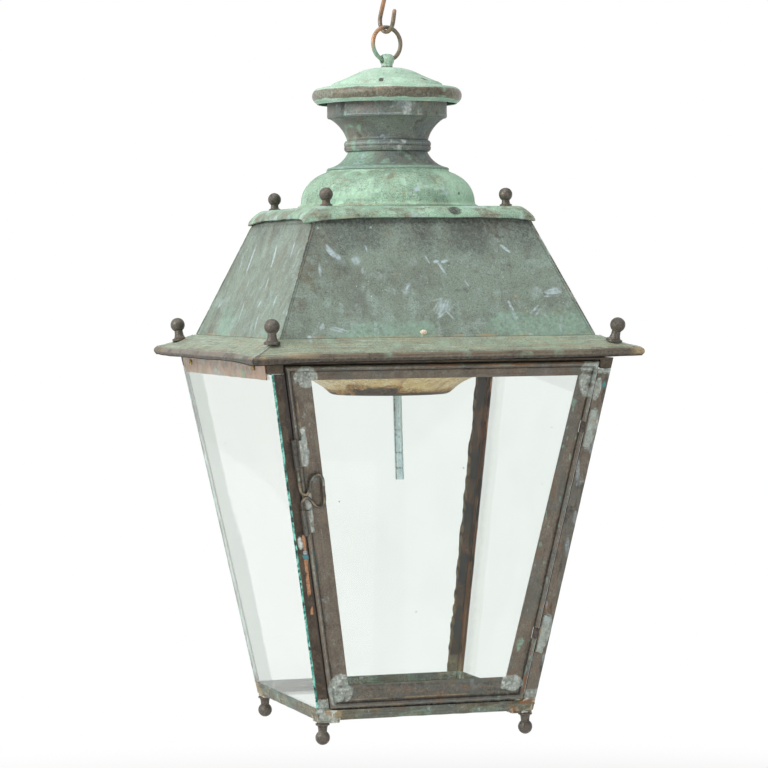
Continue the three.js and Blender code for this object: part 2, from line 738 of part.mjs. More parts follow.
// The loop on the post turns round the pin; its leaf is soldered to the post's face.
function hinge(height) {
  const frame = doorEdgeFrame(1, HINGE_HEIGHTS[height], hingeInset, -0.4);
  const { knuckle, bore, length, pin, pinLength, leaf } = HINGE;
  const loop = pipe(knuckle, bore, length).translate(0, 0, -length / 2).rotateX(Math.PI / 2);
  const face = 0.4 + SEAT; // the post's face from the pin's axis
  const neck = boxAt(2.1, 5, -length / 2, length / 2, face, face + 1.2);
  const plate = boxAt(4.4, 12.8, -leaf / 2, leaf / 2, face, face + 1.2);
  frame.add(piece(`${height}_hinge_leaf`, join(loop, neck, plate), metal(COLORS.greyPatina)));
  const rod = new THREE.CylinderGeometry(pin, pin, pinLength, 12);
  frame.add(piece(`${height}_hinge_pin`, rod, metal(COLORS.iron)));
  return frame;
}

// Handle: one wire, bent to a finger loop, whose two ends turn in sleeves on the door's edge

const SLEEVES = { upper: [31, 65], lower: [-44, -15] };
const SLEEVE = { outer: 2.7, bore: 1.6 };

function handleCurve() {
  const bends = [
    [0, 62], [0, 40], [0, 20], [0, 9], [1.4, 4.4], [6, 1.7], [9.8, 5.6], [13, 14.5], [17.4, 20.6],
    [23, 21], [26.2, 15.5], [25.8, 2], [25.2, -9.5], [21.6, -15.4], [15.6, -13.4], [10.2, -5.8],
    [6, -1.7], [1.4, -4.4], [0, -9.5], [0, -25], [0, -42],
  ];
  const line = bends.map(([x, y]) => new THREE.Vector3(x, y, 0));
  return new THREE.CatmullRomCurve3(line, false, 'centripetal');
}

function handle() {
  const frame = doorEdgeFrame(-1, HANDLE_Z, 13.9, 4.1);
  for (const [name, [foot, head]] of Object.entries(SLEEVES)) {
    const barrel = pipe(SLEEVE.outer, SLEEVE.bore, head - foot)
      .rotateX(-Math.PI / 2)
      .translate(0, foot, 0);
    const strap = boxAt(1.9, 10, foot + 3, head - 3, -1.4, -0.4);
    frame.add(piece(`${name}_handle_sleeve`, join(barrel, strap), metal(COLORS.brownPatina)));
  }
  const wire = tubeAlong(handleCurve(), HANDLE_WIRE, 6, 56);
  frame.add(piece('door_handle', wire, metal(COLORS.brownPatina)));
  return frame;
}

function door() {
  const { turn, tilt } = sideFrame('front');
  tilt.add(piece('door_frame', doorFrame(), metal(COLORS.brownPatina)));
  tilt.add(piece('door_pane', doorPane(), clearGlass()));
  tilt.add(...Object.keys(HINGE_HEIGHTS).map(hinge), handle());
  return turn;
}

// Lamp fitting

const BAR_Z = TOP_Z + SEAT;
const BAR_THICK = 3;
const STRAP_TOP = TOP_Z;
const BRIM_Z = 406;

// An enamelled dish with a flat middle, a hollow flare and a brim.
function reflector() {
  const flat = 384;
  const line = new THREE.Path()
    .moveTo(17, flat)
    .lineTo(63, flat)
    .quadraticCurveTo(68, flat, 71, flat + 3)
    .quadraticCurveTo(86, flat + 17, 103, BRIM_Z - 1.6)
    .lineTo(113, BRIM_Z)
    .lineTo(115, BRIM_Z + 2);
  return spunSheet(line, 3, 24);
}

// A strap under the bar, bent down to the dish's brim at both ends.
function reflectorStrap() {
  const low = BRIM_Z + SHEET + 0.4;
  const side = points([111, low], [103.4, low], [103.4, STRAP_TOP - SHEET]);
  const line = [...side.map((p) => new THREE.Vector2(-p.x, p.y)), ...side.reverse()];
  const width = 14;
  const outline = new THREE.Shape(sheetOutline(line));
  const strap = new THREE.ExtrudeGeometry(outline, { depth: width, bevelEnabled: false })
    .translate(0, 0, -width / 2)
    .rotateX(Math.PI / 2);
  return cut(strap, tubeHole());
}

function tubeHole() {
  return new THREE.CylinderGeometry(6.2, 6.2, 40, SMALL_ROUND)
    .rotateX(Math.PI / 2)
    .translate(TUBE_X, 0, TOP_Z);
}

function bridgeBar() {
  return cut(boxAt(-175.4, 175.4, -10, 10, BAR_Z, BAR_Z + BAR_THICK), tubeHole());
}

// The threaded lamp tube: open bore, grooves near its end, where a lampholder screws on.
function lampTube() {
  const grooves = [298, 316, 342];
  const line = [new THREE.Vector2(TUBE_RADIUS, TUBE_END_Z)];
  for (const z of grooves) {
    for (const [r, dz] of [[0, -0.8], [-0.5, -0.5], [-0.5, 0.5], [0, 0.8]]) {
      line.push(new THREE.Vector2(TUBE_RADIUS + r, z + dz));
    }
  }
  line.push(new THREE.Vector2(TUBE_RADIUS, TUBE_TOP_Z));
  const bore = points([3.4, TUBE_TOP_Z], [3.4, TUBE_END_Z]);
  return turned([...line, ...bore], SMALL_ROUND).translate(0, 0, -TOP_Z);
}

function lampFitting() {
  const group = new THREE.Group();
  group.add(piece('enamel_reflector', reflector(), metal(COLORS.enamel)));
  group.add(piece('reflector_strap', reflectorStrap(), metal(COLORS.brownPatina)));
  group.add(piece('bridge_bar', bridgeBar(), metal(COLORS.iron)));
  const leaning = new THREE.Group();
  leaning.position.set(TUBE_X, 0, TOP_Z);
  leaning.rotation.y = -TUBE_LEAN;
  leaning.add(piece('lamp_tube', lampTube(), metal(COLORS.zinc)));
  const nuts = { upper: BAR_Z + BAR_THICK + 0.5 - TOP_Z, lower: STRAP_TOP - SHEET - 0.5 - 5 - TOP_Z };
  for (const [name, z] of Object.entries(nuts)) {
    const nut = piece(`${name}_lock_nut`, hexNut(14, 2 * TUBE_RADIUS + 0.7, 5), metal(COLORS.brass));
    nut.position.z = z;
    leaning.add(nut);
  }
  group.add(leaning);
  return group;
}

// The whole lantern

function crown() {
  const group = new THREE.Group();
  const bossNut = piece('boss_nut', hexNut(14, 8.7, 5.6), metal(COLORS.brass));
  bossNut.position.z = 747.6;
  group.add(
    ringBoss(),
    bossNut,
    piece('chimney_cap', chimneyCap(), metal(COLORS.verdigris)),
    piece('cap_spider', capSpider(), metal(COLORS.iron)),
    piece('chimney_throat', chimneyThroat(), metal(COLORS.greyPatina)),
    piece('neck_ring', neckRing(), metal(COLORS.brownPatina)),
    piece('dome_flare', domeFlare(), metal(COLORS.verdigris)),
    piece('crown_dome', crownDome(), metal(COLORS.verdigris)),
    piece('collar_plate', collarPlate(), metal(COLORS.verdigris)),
  );
  return group;
}

function roof() {
  const group = new THREE.Group();
  SIDES.forEach((side, i) => {
    const length = new THREE.Group();
    length.rotation.z = i * Math.PI / 2;
    length.add(piece(`roof_panel_${side}`, roofPanel(), metal(COLORS.greyPatina)));
    length.add(piece(`eave_${side}`, eaveLength(), metal(COLORS.greyPatina)));
    group.add(length);
  });
  return group;
}

function body() {
  const group = new THREE.Group();
  group.add(piece('top_frame', topFrame(), metal(COLORS.brownPatina)));
  group.add(piece('bottom_frame', bottomFrame(), metal(COLORS.brownPatina)));
  for (const corner of Object.keys(CORNERS)) {
    group.add(cornerPost(corner), ballFoot(corner), eaveFinial(corner), collarFinial(corner));
  }
  group.add(...['right', 'back', 'left'].map(sidePane), bottomPane(), paneStrip());
  return group;
}

function lantern() {
  const group = new THREE.Group();
  group.position.z = LANTERN_Z;
  group.add(crown(), roof(), body(), door(), lampFitting());
  return group;
}

const group = new THREE.Group();
group.add(suspension(), lantern());

export default group;
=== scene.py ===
"""The looks of a square copper lantern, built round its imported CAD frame.

Lengths are millimetres and heights count from the bottoms of the feet, as in the part's own source;
`metres` turns them into the frame. The door faces -Y.
"""

import math

import bmesh
import bpy
import numpy as np
from mathutils import Matrix, Vector

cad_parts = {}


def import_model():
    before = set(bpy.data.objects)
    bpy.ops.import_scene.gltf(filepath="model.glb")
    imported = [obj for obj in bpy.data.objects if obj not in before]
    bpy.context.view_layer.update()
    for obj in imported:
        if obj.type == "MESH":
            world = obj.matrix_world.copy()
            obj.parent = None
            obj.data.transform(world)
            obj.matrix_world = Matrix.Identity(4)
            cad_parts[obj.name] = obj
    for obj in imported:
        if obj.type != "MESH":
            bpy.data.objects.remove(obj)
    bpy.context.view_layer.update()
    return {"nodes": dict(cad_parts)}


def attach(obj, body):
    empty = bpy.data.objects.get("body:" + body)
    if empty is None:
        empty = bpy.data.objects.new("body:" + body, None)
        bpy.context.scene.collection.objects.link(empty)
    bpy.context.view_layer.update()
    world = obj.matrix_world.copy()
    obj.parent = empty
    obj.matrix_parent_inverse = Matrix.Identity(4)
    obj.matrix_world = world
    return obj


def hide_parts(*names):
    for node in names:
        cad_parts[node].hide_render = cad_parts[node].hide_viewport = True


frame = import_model()

LANTERN_Z = -892.7
RING_TURN = math.radians(16.3)
PULL = 0.3 / math.sqrt(2)
SHEET = 1.2
FOLDED = 2.4
GLASS = 2.6

BASE_HALF, BASE_Z = 126.0, 24.4
TOP_HALF, TOP_Z = 198.2, 427.0
TAPER = (TOP_HALF - BASE_HALF) / (TOP_Z - BASE_Z)
TILT = math.atan(TAPER)
EDGE_TILT = math.atan(math.sin(TILT))
WALL_HEAD_Z, WALL_FOOT_Z = 42.0, 415.0
ROOF_FOOT, ROOF_HEAD = (182.4, 452.4), (125.2, 585.4)
ROOF_TILT = math.atan2(ROOF_FOOT[0] - ROOF_HEAD[0], ROOF_HEAD[1] - ROOF_FOOT[1])
EAVE_TOP = [(203, 443.2), (184.6, 452.1), (178.5, 452.1)]
SIDES = ["front", "right", "back", "left"]
CORNERS = {"front_left": (-1, -1), "front_right": (1, -1), "back_right": (1, 1), "back_left": (-1, 1)}

BEAD, DOOR_DEPTH = 2.8, 6.0
POST_FACE, DOOR_EDGE = 14.5, 15.7
DOOR_BOTTOM_Z, DOOR_TOP_Z = 41.5, 423.0
TOP_RAIL, BOTTOM_RAIL = 15.5, 26.5


def half_at(z):
    """Half the body's width at a height."""
    return BASE_HALF + (z - BASE_Z) * TAPER


def up_at(z):
    """The way up a leaning face to a height."""
    return (z - BASE_Z) / math.cos(TILT)


def face_half(v):
    """Half a face's width, v up its slope."""
    return BASE_HALF + v * math.sin(TILT)


# Points and noise


def coords(*parts):
    """Points from their coordinates, which are arrays or single numbers."""
    return np.stack(np.broadcast_arrays(*parts), -1)


def metres(points):
    return (np.asarray(points, float) + (0, 0, LANTERN_Z)) * 0.001


def quarter(points, turns):
    x, y, z = np.moveaxis(np.asarray(points, float), -1, 0)
    for _ in range(turns % 4):
        x, y = -y, x
    return coords(x, y, z)


def on_face(side, along, up, out):
    """World points of a side's own coordinates: along it, up its slope and outwards."""
    along, up, out = np.broadcast_arrays(*(np.asarray(a, float) for a in (along, up, out)))
    s, c = math.sin(TILT), math.cos(TILT)
    local = coords(along, -BASE_HALF - up * s - out * c, BASE_Z + up * c - out * s)
    return quarter(local, SIDES.index(side))


def face_coords(side, points):
    """The reverse of on_face."""
    local = quarter(points, -SIDES.index(side))
    y, z = local[..., 1] + BASE_HALF, local[..., 2] - BASE_Z
    s, c = math.sin(TILT), math.cos(TILT)
    return local[..., 0], z * c - y * s, -y * c - z * s


def roof_coords(side, points):
    """The way along a roof panel and up its slope."""
    local = quarter(points, -SIDES.index(side))
    return local[..., 0], (local[..., 2] - ROOF_FOOT[1]) / math.cos(ROOF_TILT)


TABLE = np.random.default_rng(20).random(65536) * 2 - 1


def noise(points, size, seed=0):
    """Smooth value noise from -1 to 1 at 3-D points."""
    q = np.asarray(points, float) / size + 31.7 * seed
    cell = np.floor(q).astype(np.int64)
    f = q - cell
    f = f * f * (3 - 2 * f)
    total = 0.0
    for dx in (0, 1):
        wx = f[..., 0] if dx else 1 - f[..., 0]
        for dy in (0, 1):
            wy = f[..., 1] if dy else 1 - f[..., 1]
            for dz in (0, 1):
                wz = f[..., 2] if dz else 1 - f[..., 2]
                key = (cell[..., 0] + dx) * 73856093 ^ (cell[..., 1] + dy) * 19349663
                key = key ^ (cell[..., 2] + dz) * 83492791 ^ seed * 2654435
                total = total + TABLE[key & 65535] * wx * wy * wz
    return total


def rough_noise(points, size, seed=0, octaves=3):
    return sum(noise(points, size / 2**k, seed + k) / 2**k for k in range(octaves))


def ramp(x, low, high):
    t = np.clip((np.asarray(x, float) - low) / (high - low), 0, 1)
    return t * t * (3 - 2 * t)


def peak(x, centre, width):
    return np.exp(-(((np.asarray(x, float) - centre) / width) ** 2))


def blots(points, size, seed, low, high):
    """Soft-edged patches of noise, from 0 to 1."""
    return ramp(noise(points, size, seed), low, high)


def stroke(u, v, line, width):
    """1 on a broken line of (u, v) points, falling to 0 at width from it."""
    best = np.full(np.shape(u), 1e9)
    for (x0, y0), (x1, y1) in zip(line[:-1], line[1:]):
        dx, dy = x1 - x0, y1 - y0
        t = np.clip(((u - x0) * dx + (v - y0) * dy) / (dx * dx + dy * dy + 1e-9), 0, 1)
        best = np.minimum(best, np.hypot(u - x0 - t * dx, v - y0 - t * dy))
    return 1 - ramp(best, 0.35 * width, width)


def spot(u, v, centre, ru, rv=None):
    d = np.hypot((u - centre[0]) / ru, (v - centre[1]) / (rv or ru))
    return 1 - ramp(d, 0.6, 1.15)


def brushed(u, v, patches, seed):
    """Soft patches of fine brush marks: centre, half length and width, angle, strength."""
    best = np.zeros(np.shape(u))
    for k, (cu, cv, length, width, angle, strength) in enumerate(patches):
        c, s = math.cos(math.radians(angle)), math.sin(math.radians(angle))
        x, y = (u - cu) * c + (v - cv) * s, (v - cv) * c - (u - cu) * s
        fibre = noise(coords(x / 9, y / 1.5, k), 1.0, seed + k)
        soft = np.exp(-(((x / length) ** 2 + (y / width) ** 2) ** 1.4))
        best = np.maximum(best, strength * soft * (0.8 + 0.35 * fibre))
    return best


def most(*values):
    return np.clip(np.max(np.broadcast_arrays(*values), axis=0), 0, 1)


# Outlines: radius or half-width and height


def arc(cx, cz, r, start, end, steps, rz=None):
    a = np.linspace(start, end, steps + 1)
    return coords(cx + r * np.cos(a), cz + (rz or r) * np.sin(a))


def bezier(points, steps=10):
    t = np.linspace(0, 1, steps + 1)[:, None]
    level = [np.asarray(p, float) for p in points]
    while len(level) > 1:
        level = [a * (1 - t) + b * t for a, b in zip(level[:-1], level[1:])]
    return level[0]


def path(*parts):
    rows = np.concatenate([np.atleast_2d(np.asarray(p, float)) for p in parts])
    keep = [True] + [np.linalg.norm(b - a) > 0.02 for a, b in zip(rows[:-1], rows[1:])]
    return rows[keep]


def finer(line, step, closed=False):
    """Divides a line's segments so that none is longer than step."""
    line = np.asarray(line, float)
    ends = np.roll(line, -1, 0) if closed else line[1:]
    out = []
    for a, b in zip(line, ends):
        count = max(1, int(math.ceil(np.linalg.norm(b - a) / step)))
        out.extend(a + (b - a) * k / count for k in range(count))
    if not closed:
        out.append(line[-1])
    return np.array(out)


def sheet(line, thickness=SHEET):
    """The closed outline of a sheet: the line is one surface, the other lies at its left."""
    line = np.asarray(line, float)
    step = np.diff(line, axis=0)
    step /= np.linalg.norm(step, axis=1)[:, None]
    into, out = np.vstack([step[:1], step]), np.vstack([step, step[-1:]])
    along = into + out
    along /= np.linalg.norm(along, axis=1)[:, None]
    stretch = 1 / np.maximum((along * into).sum(1), 0.5)
    normal = coords(-along[:, 1], along[:, 0]) * (thickness * stretch)[:, None]
    return np.vstack([line, (line + normal)[::-1]])


def spline(points, steps):
    """A centripetal Catmull-Rom curve through 3-D points."""
    p = np.asarray(points, float)
    p = np.vstack([2 * p[0] - p[1], p, 2 * p[-1] - p[-2]])
    out = []
    for i in range(1, len(p) - 2):
        p0, p1, p2, p3 = p[i - 1], p[i], p[i + 1], p[i + 2]
        t0 = 0.0
        t1 = t0 + math.sqrt(np.linalg.norm(p1 - p0))
        t2 = t1 + math.sqrt(np.linalg.norm(p2 - p1))
        t3 = t2 + math.sqrt(np.linalg.norm(p3 - p2))
        t = np.linspace(t1, t2, steps, endpoint=False)[:, None]
        a1 = (t1 - t) / (t1 - t0) * p0 + (t - t0) / (t1 - t0) * p1
        a2 = (t2 - t) / (t2 - t1) * p1 + (t - t1) / (t2 - t1) * p2
        a3 = (t3 - t) / (t3 - t2) * p2 + (t - t2) / (t3 - t2) * p3
        b1 = (t2 - t) / (t2 - t0) * a1 + (t - t0) / (t2 - t0) * a2
        b2 = (t3 - t) / (t3 - t1) * a2 + (t - t1) / (t3 - t1) * a3
        out.append((t2 - t) / (t2 - t1) * b1 + (t - t1) / (t2 - t1) * b2)
    return np.vstack([*out, p[-2][None]])


# Surfaces: a grid of points and its faces


def grid_faces(rows, cols, wrap_rows=False, wrap_cols=False):
    r = np.arange(rows if wrap_rows else rows - 1)
    c = np.arange(cols if wrap_cols else cols - 1)
    r, c = np.meshgrid(r, c, indexing="ij")
    r2, c2 = (r + 1) % rows, (c + 1) % cols
    quads = np.stack([r * cols + c, r * cols + c2, r2 * cols + c2, r2 * cols + c], -1)
    return quads.reshape(-1, 4).tolist()


def closed_rings(grid):
    """Faces of rings of points, each ring closed on itself and the rows too."""
    return grid.reshape(-1, 3), grid_faces(*grid.shape[:2], True, True)


def capped_rings(grid):
    rows, cols = grid.shape[:2]
    faces = grid_faces(rows, cols, False, True)
    faces.append(list(range(cols))[::-1])
    faces.append([(rows - 1) * cols + k for k in range(cols)])
    return grid.reshape(-1, 3), faces


def turned(outline, stations=96):
    """A turned solid: the outline closes on itself, or starts and ends on the axis."""
    p = np.asarray(outline, float)
    a = np.linspace(0, 2 * math.pi, stations, endpoint=False)
    grid = coords(p[:, None, 0] * np.cos(a), p[:, None, 0] * np.sin(a), p[:, None, 1])
    return grid.reshape(-1, 3), grid_faces(len(p), stations, p[0][0] > 0, True)


def square_stations(per_side):
    t = np.linspace(-1, 1, per_side, endpoint=False)
    one = np.ones(per_side)
    x = np.concatenate([t, one, -t, -one])
    y = np.concatenate([-one, t, one, -t])
    return x, y


def square_ring(outline, per_side=60):
    p = np.asarray(outline, float)
    x, y = square_stations(per_side)
    return coords(p[:, None, 0] * x, p[:, None, 0] * y, p[:, None, 1])


def mitred(outline, stations=80):
    """One length of a square ring, on the front side, with mitred ends."""
    p = np.asarray(outline, float)
    s = np.linspace(-1, 1, stations)
    return coords((p[None, :, 0] - PULL) * s[:, None], -p[None, :, 0], p[None, :, 1])


def swept(line, radius, sides=20, closed=False):
    """A round wire along a line of points, with rounded ends unless it closes on itself."""
    line = np.asarray(line, float)
    tangent = np.roll(line, -1, 0) - np.roll(line, 1, 0) if closed else np.gradient(line, axis=0)
    tangent /= np.linalg.norm(tangent, axis=1)[:, None]
    normal = np.cross(tangent[0], (0.31, 0.87, 0.38))
    normals = []
    for t in tangent:
        normal = normal - t * (normal @ t)
        normal = normal / np.linalg.norm(normal)
        normals.append(normal)
    normals = np.array(normals)
    if closed:
        last = normals[-1] - tangent[0] * (normals[-1] @ tangent[0])
        twist = math.atan2(np.cross(last, normals[0]) @ tangent[0], last @ normals[0])
        share = np.linspace(0, twist, len(line), endpoint=False)[:, None]
        normals = normals * np.cos(share) + np.cross(tangent, normals) * np.sin(share)
    across = np.cross(tangent, normals)
    a = np.linspace(0, 2 * math.pi, sides, endpoint=False)
    radius = np.broadcast_to(np.asarray(radius, float), (len(line),))
    circle = np.cos(a)[None, :, None] * normals[:, None] + np.sin(a)[None, :, None] * across[:, None]
    wire = line[:, None] + circle * radius[:, None, None]
    if closed:
        return closed_rings(wire)

    def end_ring(k, way, phi):
        tip = line[k] + way * tangent[k] * radius[k] * math.cos(phi)
        return tip + circle[k] * radius[k] * math.sin(phi)

    steps = np.radians([12, 35, 60])
    heads = [end_ring(0, -1, phi) for phi in steps]
    tails = [end_ring(-1, 1, phi) for phi in steps[::-1]]
    return capped_rings(np.concatenate([heads, wire, tails]))


def plate(outer, thickness):
    """A closed sheet from a grid of outer points, whose rows and columns run over it."""
    du = np.gradient(outer, axis=1)
    dv = np.gradient(outer, axis=0)
    n = np.cross(du, dv)
    n /= np.linalg.norm(n, axis=-1)[..., None] + 1e-12
    rows, cols = outer.shape[:2]
    both = np.concatenate([outer.reshape(-1, 3), (outer - n * thickness).reshape(-1, 3)])
    top = grid_faces(rows, cols)
    below = [[k + rows * cols for k in f[::-1]] for f in top]
    edge = [r * cols for r in range(rows - 1, 0, -1)] + list(range(cols - 1))
    edge += [r * cols + cols - 1 for r in range(rows - 1)]
    edge += [(rows - 1) * cols + c for c in range(cols - 1, 0, -1)]
    rim = [[a, b, b + rows * cols, a + rows * cols] for a, b in zip(edge, edge[1:] + edge[:1])]
    return both, top + below + rim


def rounded_box(half, radius, steps=10):
    t = np.linspace(-1, 1, steps + 1)
    a, b = np.meshgrid(t, t, indexing="ij")
    one = np.ones_like(a)
    points, faces = [], []
    for axis in range(3):
        for sign in (-1, 1):
            grid = np.roll(coords(sign * one, a, b * sign), axis, -1)
            base = len(points) * (steps + 1) ** 2
            points.append(grid.reshape(-1, 3))
            faces += [[k + base for k in f] for f in grid_faces(steps + 1, steps + 1)]
    half = np.asarray(half, float)
    p = np.concatenate(points) * half
    core = np.clip(p, -(half - radius), half - radius)
    way = p - core
    way /= np.linalg.norm(way, axis=1)[:, None]
    return core + way * radius, faces


def lumpy(points, amount, size, seed):
    centre = points.mean(0)
    way = points - centre
    way /= np.linalg.norm(way, axis=1)[:, None] + 1e-9
    return points + way * (amount * rough_noise(points, size, seed))[:, None]


def merged(*parts):
    points, faces, base = [], [], 0
    for p, f in parts:
        points.append(p)
        faces += [[k + base for k in face] for face in f]
        base += len(p)
    return np.concatenate(points), faces


# Materials


def rgb(code):
    values = [int(code[k : k + 2], 16) / 255 for k in (0, 2, 4)]
    return (*(v / 12.92 if v <= 0.04045 else ((v + 0.055) / 1.055) ** 2.4 for v in values), 1.0)


class Nodes:
    """A tree's nodes, written as calls."""

    def __init__(self, tree):
        self.tree = tree
        tree.nodes.clear()

    def node(self, kind, values=None, **settings):
        made = self.tree.nodes.new("ShaderNode" + kind)
        for key, value in settings.items():
            setattr(made, key, value)
        for key, value in (values or {}).items():
            self.put(made.inputs[key], value)
        return made

    def put(self, socket, value):
        if isinstance(value, bpy.types.NodeSocket):
            self.tree.links.new(value, socket)
        else:
            socket.default_value = value

    def math(self, operation, a, b=0.0, c=0.0):
        made = self.node("Math", operation=operation)
        for socket, value in zip(made.inputs, (a, b, c)):
            self.put(socket, value)
        return made.outputs[0]


class Shading(Nodes):
    """A material's nodes, as calls that return sockets. Sizes and depths are millimetres."""

    def __init__(self, name):
        self.material = bpy.data.materials.new(name)
        self.material.use_nodes = True
        super().__init__(self.material.node_tree)
        self.here = self.node("TexCoord").outputs["Object"]

    def surface(self, socket):
        self.put(self.node("OutputMaterial").inputs["Surface"], socket)

    def shade(self, **values):
        shader = self.node("BsdfPrincipled", {k.replace("_", " "): v for k, v in values.items()})
        self.surface(shader.outputs[0])

    def flow(self):
        return self.node("Attribute", attribute_name="flow").outputs["Vector"]

    def mottle(self, size, detail=4.0, rough=0.6, vector=None, distortion=0.0):
        values = {
            "Vector": vector or self.here, "Scale": 1000.0 / size, "Detail": detail, "Roughness": rough,
            "Distortion": distortion
        }
        return self.node("TexNoise", values).outputs[0]

    def cells(self, size, feature="DISTANCE_TO_EDGE", vector=None):
        values = {"Vector": vector or self.here, "Scale": 1000.0 / size}
        return self.node("TexVoronoi", values, feature=feature).outputs["Distance"]

    def band(self, value, low, high, start=0.0, end=1.0):
        values = {"Value": value, "From Min": low, "From Max": high, "To Min": start, "To Max": end}
        return self.node("MapRange", values, interpolation_type="SMOOTHSTEP").outputs[0]

    def mix(self, share, a, b, how="MIX"):
        made = self.node("Mix", data_type="RGBA", blend_type=how)
        for key, value in ((0, share), (6, a), (7, b)):
            self.put(made.inputs[key], value)
        return made.outputs[2]

    def blend(self, share, a, b):
        made = self.node("Mix", data_type="FLOAT")
        for key, value in ((0, share), (2, a), (3, b)):
            self.put(made.inputs[key], value)
        return made.outputs[0]

    def warped(self, size, by_mm):
        """Object coordinates pushed about by noise."""
        values = {"Vector": self.here, "Scale": 1000.0 / size, "Detail": 3.0}
        push = self.node("TexNoise", values).outputs["Color"]
        moved = self.node(
            "VectorMath", {0: push, 1: (by_mm * 0.001,) * 3, 2: self.here}, operation="MULTIPLY_ADD"
        )
        return moved.outputs[0]

    def mask(self, name, ragged):
        painted = self.node("Attribute", attribute_name=name).outputs["Fac"]
        return self.band(self.math("MULTIPLY_ADD", ragged, 0.9, painted), 0.64, 1.1)

    def relief(self, height, depth, strength=1.0):
        values = {"Strength": strength, "Distance": depth * 0.001, "Height": height}
        return self.node("Bump", values).outputs[0]


# What is painted on a surface: colour, roughness, metallic. Besides stains and patina, dark and slate also
# carry painted shade in places, and pale, tan, green, mint and the bare and oxide masks carry painted
# highlights and painted light
MASKS = {
    "brown": ("67594a", 0.36, 0.3), "slate": ("59605b", 0.5, 0.2), "tan": ("a3906e", 0.75, 0.0),
    "green": ("8fb6a0", 0.85, 0.0), "mint": ("b6d9bd", 0.85, 0.0), "pale": ("b8cad0", 0.8, 0.0),
    "rust": ("8a5a33", 0.9, 0.0), "dark": ("2f2a26", 0.6, 0.1), "bare": ("c28c64", 0.4, 0.45),
    "teal": ("3d8f96", 0.6, 0.0), "solder": ("b0b9b1", 0.5, 0.2), "oxide_and_highlight": ("d6dcd6", 0.85, 0.0)
}

PITS = "35302b"
# How much of the metal shows through what is painted on it
THIN_VEIL, THICK_VEIL = 0.25, 0.6
THINLY_VEILED = ("brown", "dark", "teal")


def weathered(
    name, base, tones, rough=0.7, metal=0.15, streaks=(), pitted=0.66, depth=0.35, streaky=0.55,
    flecks=None, sheen=0.5
):
    """Patinated metal. Each tone is colour, patch size, low and high noise level; streaks run
    down the flow coordinates; the painted masks lie on top."""
    s = Shading(name)
    ragged = s.math("SUBTRACT", s.mottle(4, 7, 0.75), 0.22)
    colour = rgb(base)
    for code, size, low, high in tones:
        share = s.band(s.mottle(size, 8, 0.72, distortion=0.3), low, high, 0, 0.8)
        colour = s.mix(share, colour, rgb(code))
    for code, size, low, high in streaks:
        share = s.band(s.mottle(size, 6, 0.7, s.flow()), low, high, 0, streaky)
        colour = s.mix(share, colour, rgb(code))
    grain = s.mottle(1.5, 5, 0.75)
    colour = s.mix(s.band(grain, 0.35, 0.7, 0.0, 0.42), colour, rgb("f2f2ee"), "OVERLAY")
    colour = s.mix(s.band(grain, 0.5, 0.34, 0.0, 0.45), colour, rgb(PITS))
    colour = s.mix(s.band(s.mottle(2.2, 3, 0.6), pitted, pitted + 0.05, 0, 0.7), colour, rgb(PITS))
    if flecks:
        dots = s.band(s.cells(9, "F1", s.warped(20, 12)), 0.075, 0.05, 0, 0.85)
        dots = s.math("MULTIPLY", dots, s.band(s.mottle(45, 3), 0.5, 0.6))
        colour = s.mix(dots, colour, rgb(flecks))
    gloss = s.blend(s.band(s.mottle(14, 4), 0.35, 0.65), rough - 0.1, rough + 0.1)
    shine = metal
    lumps = s.band(s.cells(6.5, vector=s.warped(5, 5)), 0.0, 0.3)
    veil = s.mottle(3, 6, 0.75)
    veils = {thick: s.band(veil, 0.38, 0.62, 0.0, thick) for thick in (THIN_VEIL, THICK_VEIL)}
    for mask, (code, mask_rough, mask_metal) in MASKS.items():
        share = s.mask(mask, ragged)
        tone = rgb(code)
        if mask == "solder":
            tone = s.mix(s.band(s.mottle(8, 4, 0.6), 0.4, 0.62), tone, rgb("8f9a92"))
            tone = s.mix(s.band(s.mottle(5, 5, 0.65), 0.54, 0.68), tone, rgb("d3dad3"))
            tone = s.mix(s.band(s.mottle(13, 5, 0.7), 0.54, 0.7), tone, rgb("8b8272"))
            share = s.band(share, 0.25, 0.75)
        tone = s.mix(veils[THIN_VEIL if mask in THINLY_VEILED else THICK_VEIL], tone, colour)
        colour = s.mix(share, colour, tone)
        gloss = s.blend(share, gloss, mask_rough)
        shine = s.blend(share, shine, mask_metal)
    height = s.math("MULTIPLY_ADD", grain, 0.35, s.mottle(7, 6, 0.7))
    height = s.math("MULTIPLY_ADD", s.math("MULTIPLY", lumps, s.mask("solder", ragged)), 0.5, height)
    s.shade(
        Base_Color=colour, Roughness=gloss, Metallic=shine, Normal=s.relief(height, depth * 2, 0.8),
        Specular_IOR_Level=sheen
    )
    return s.material


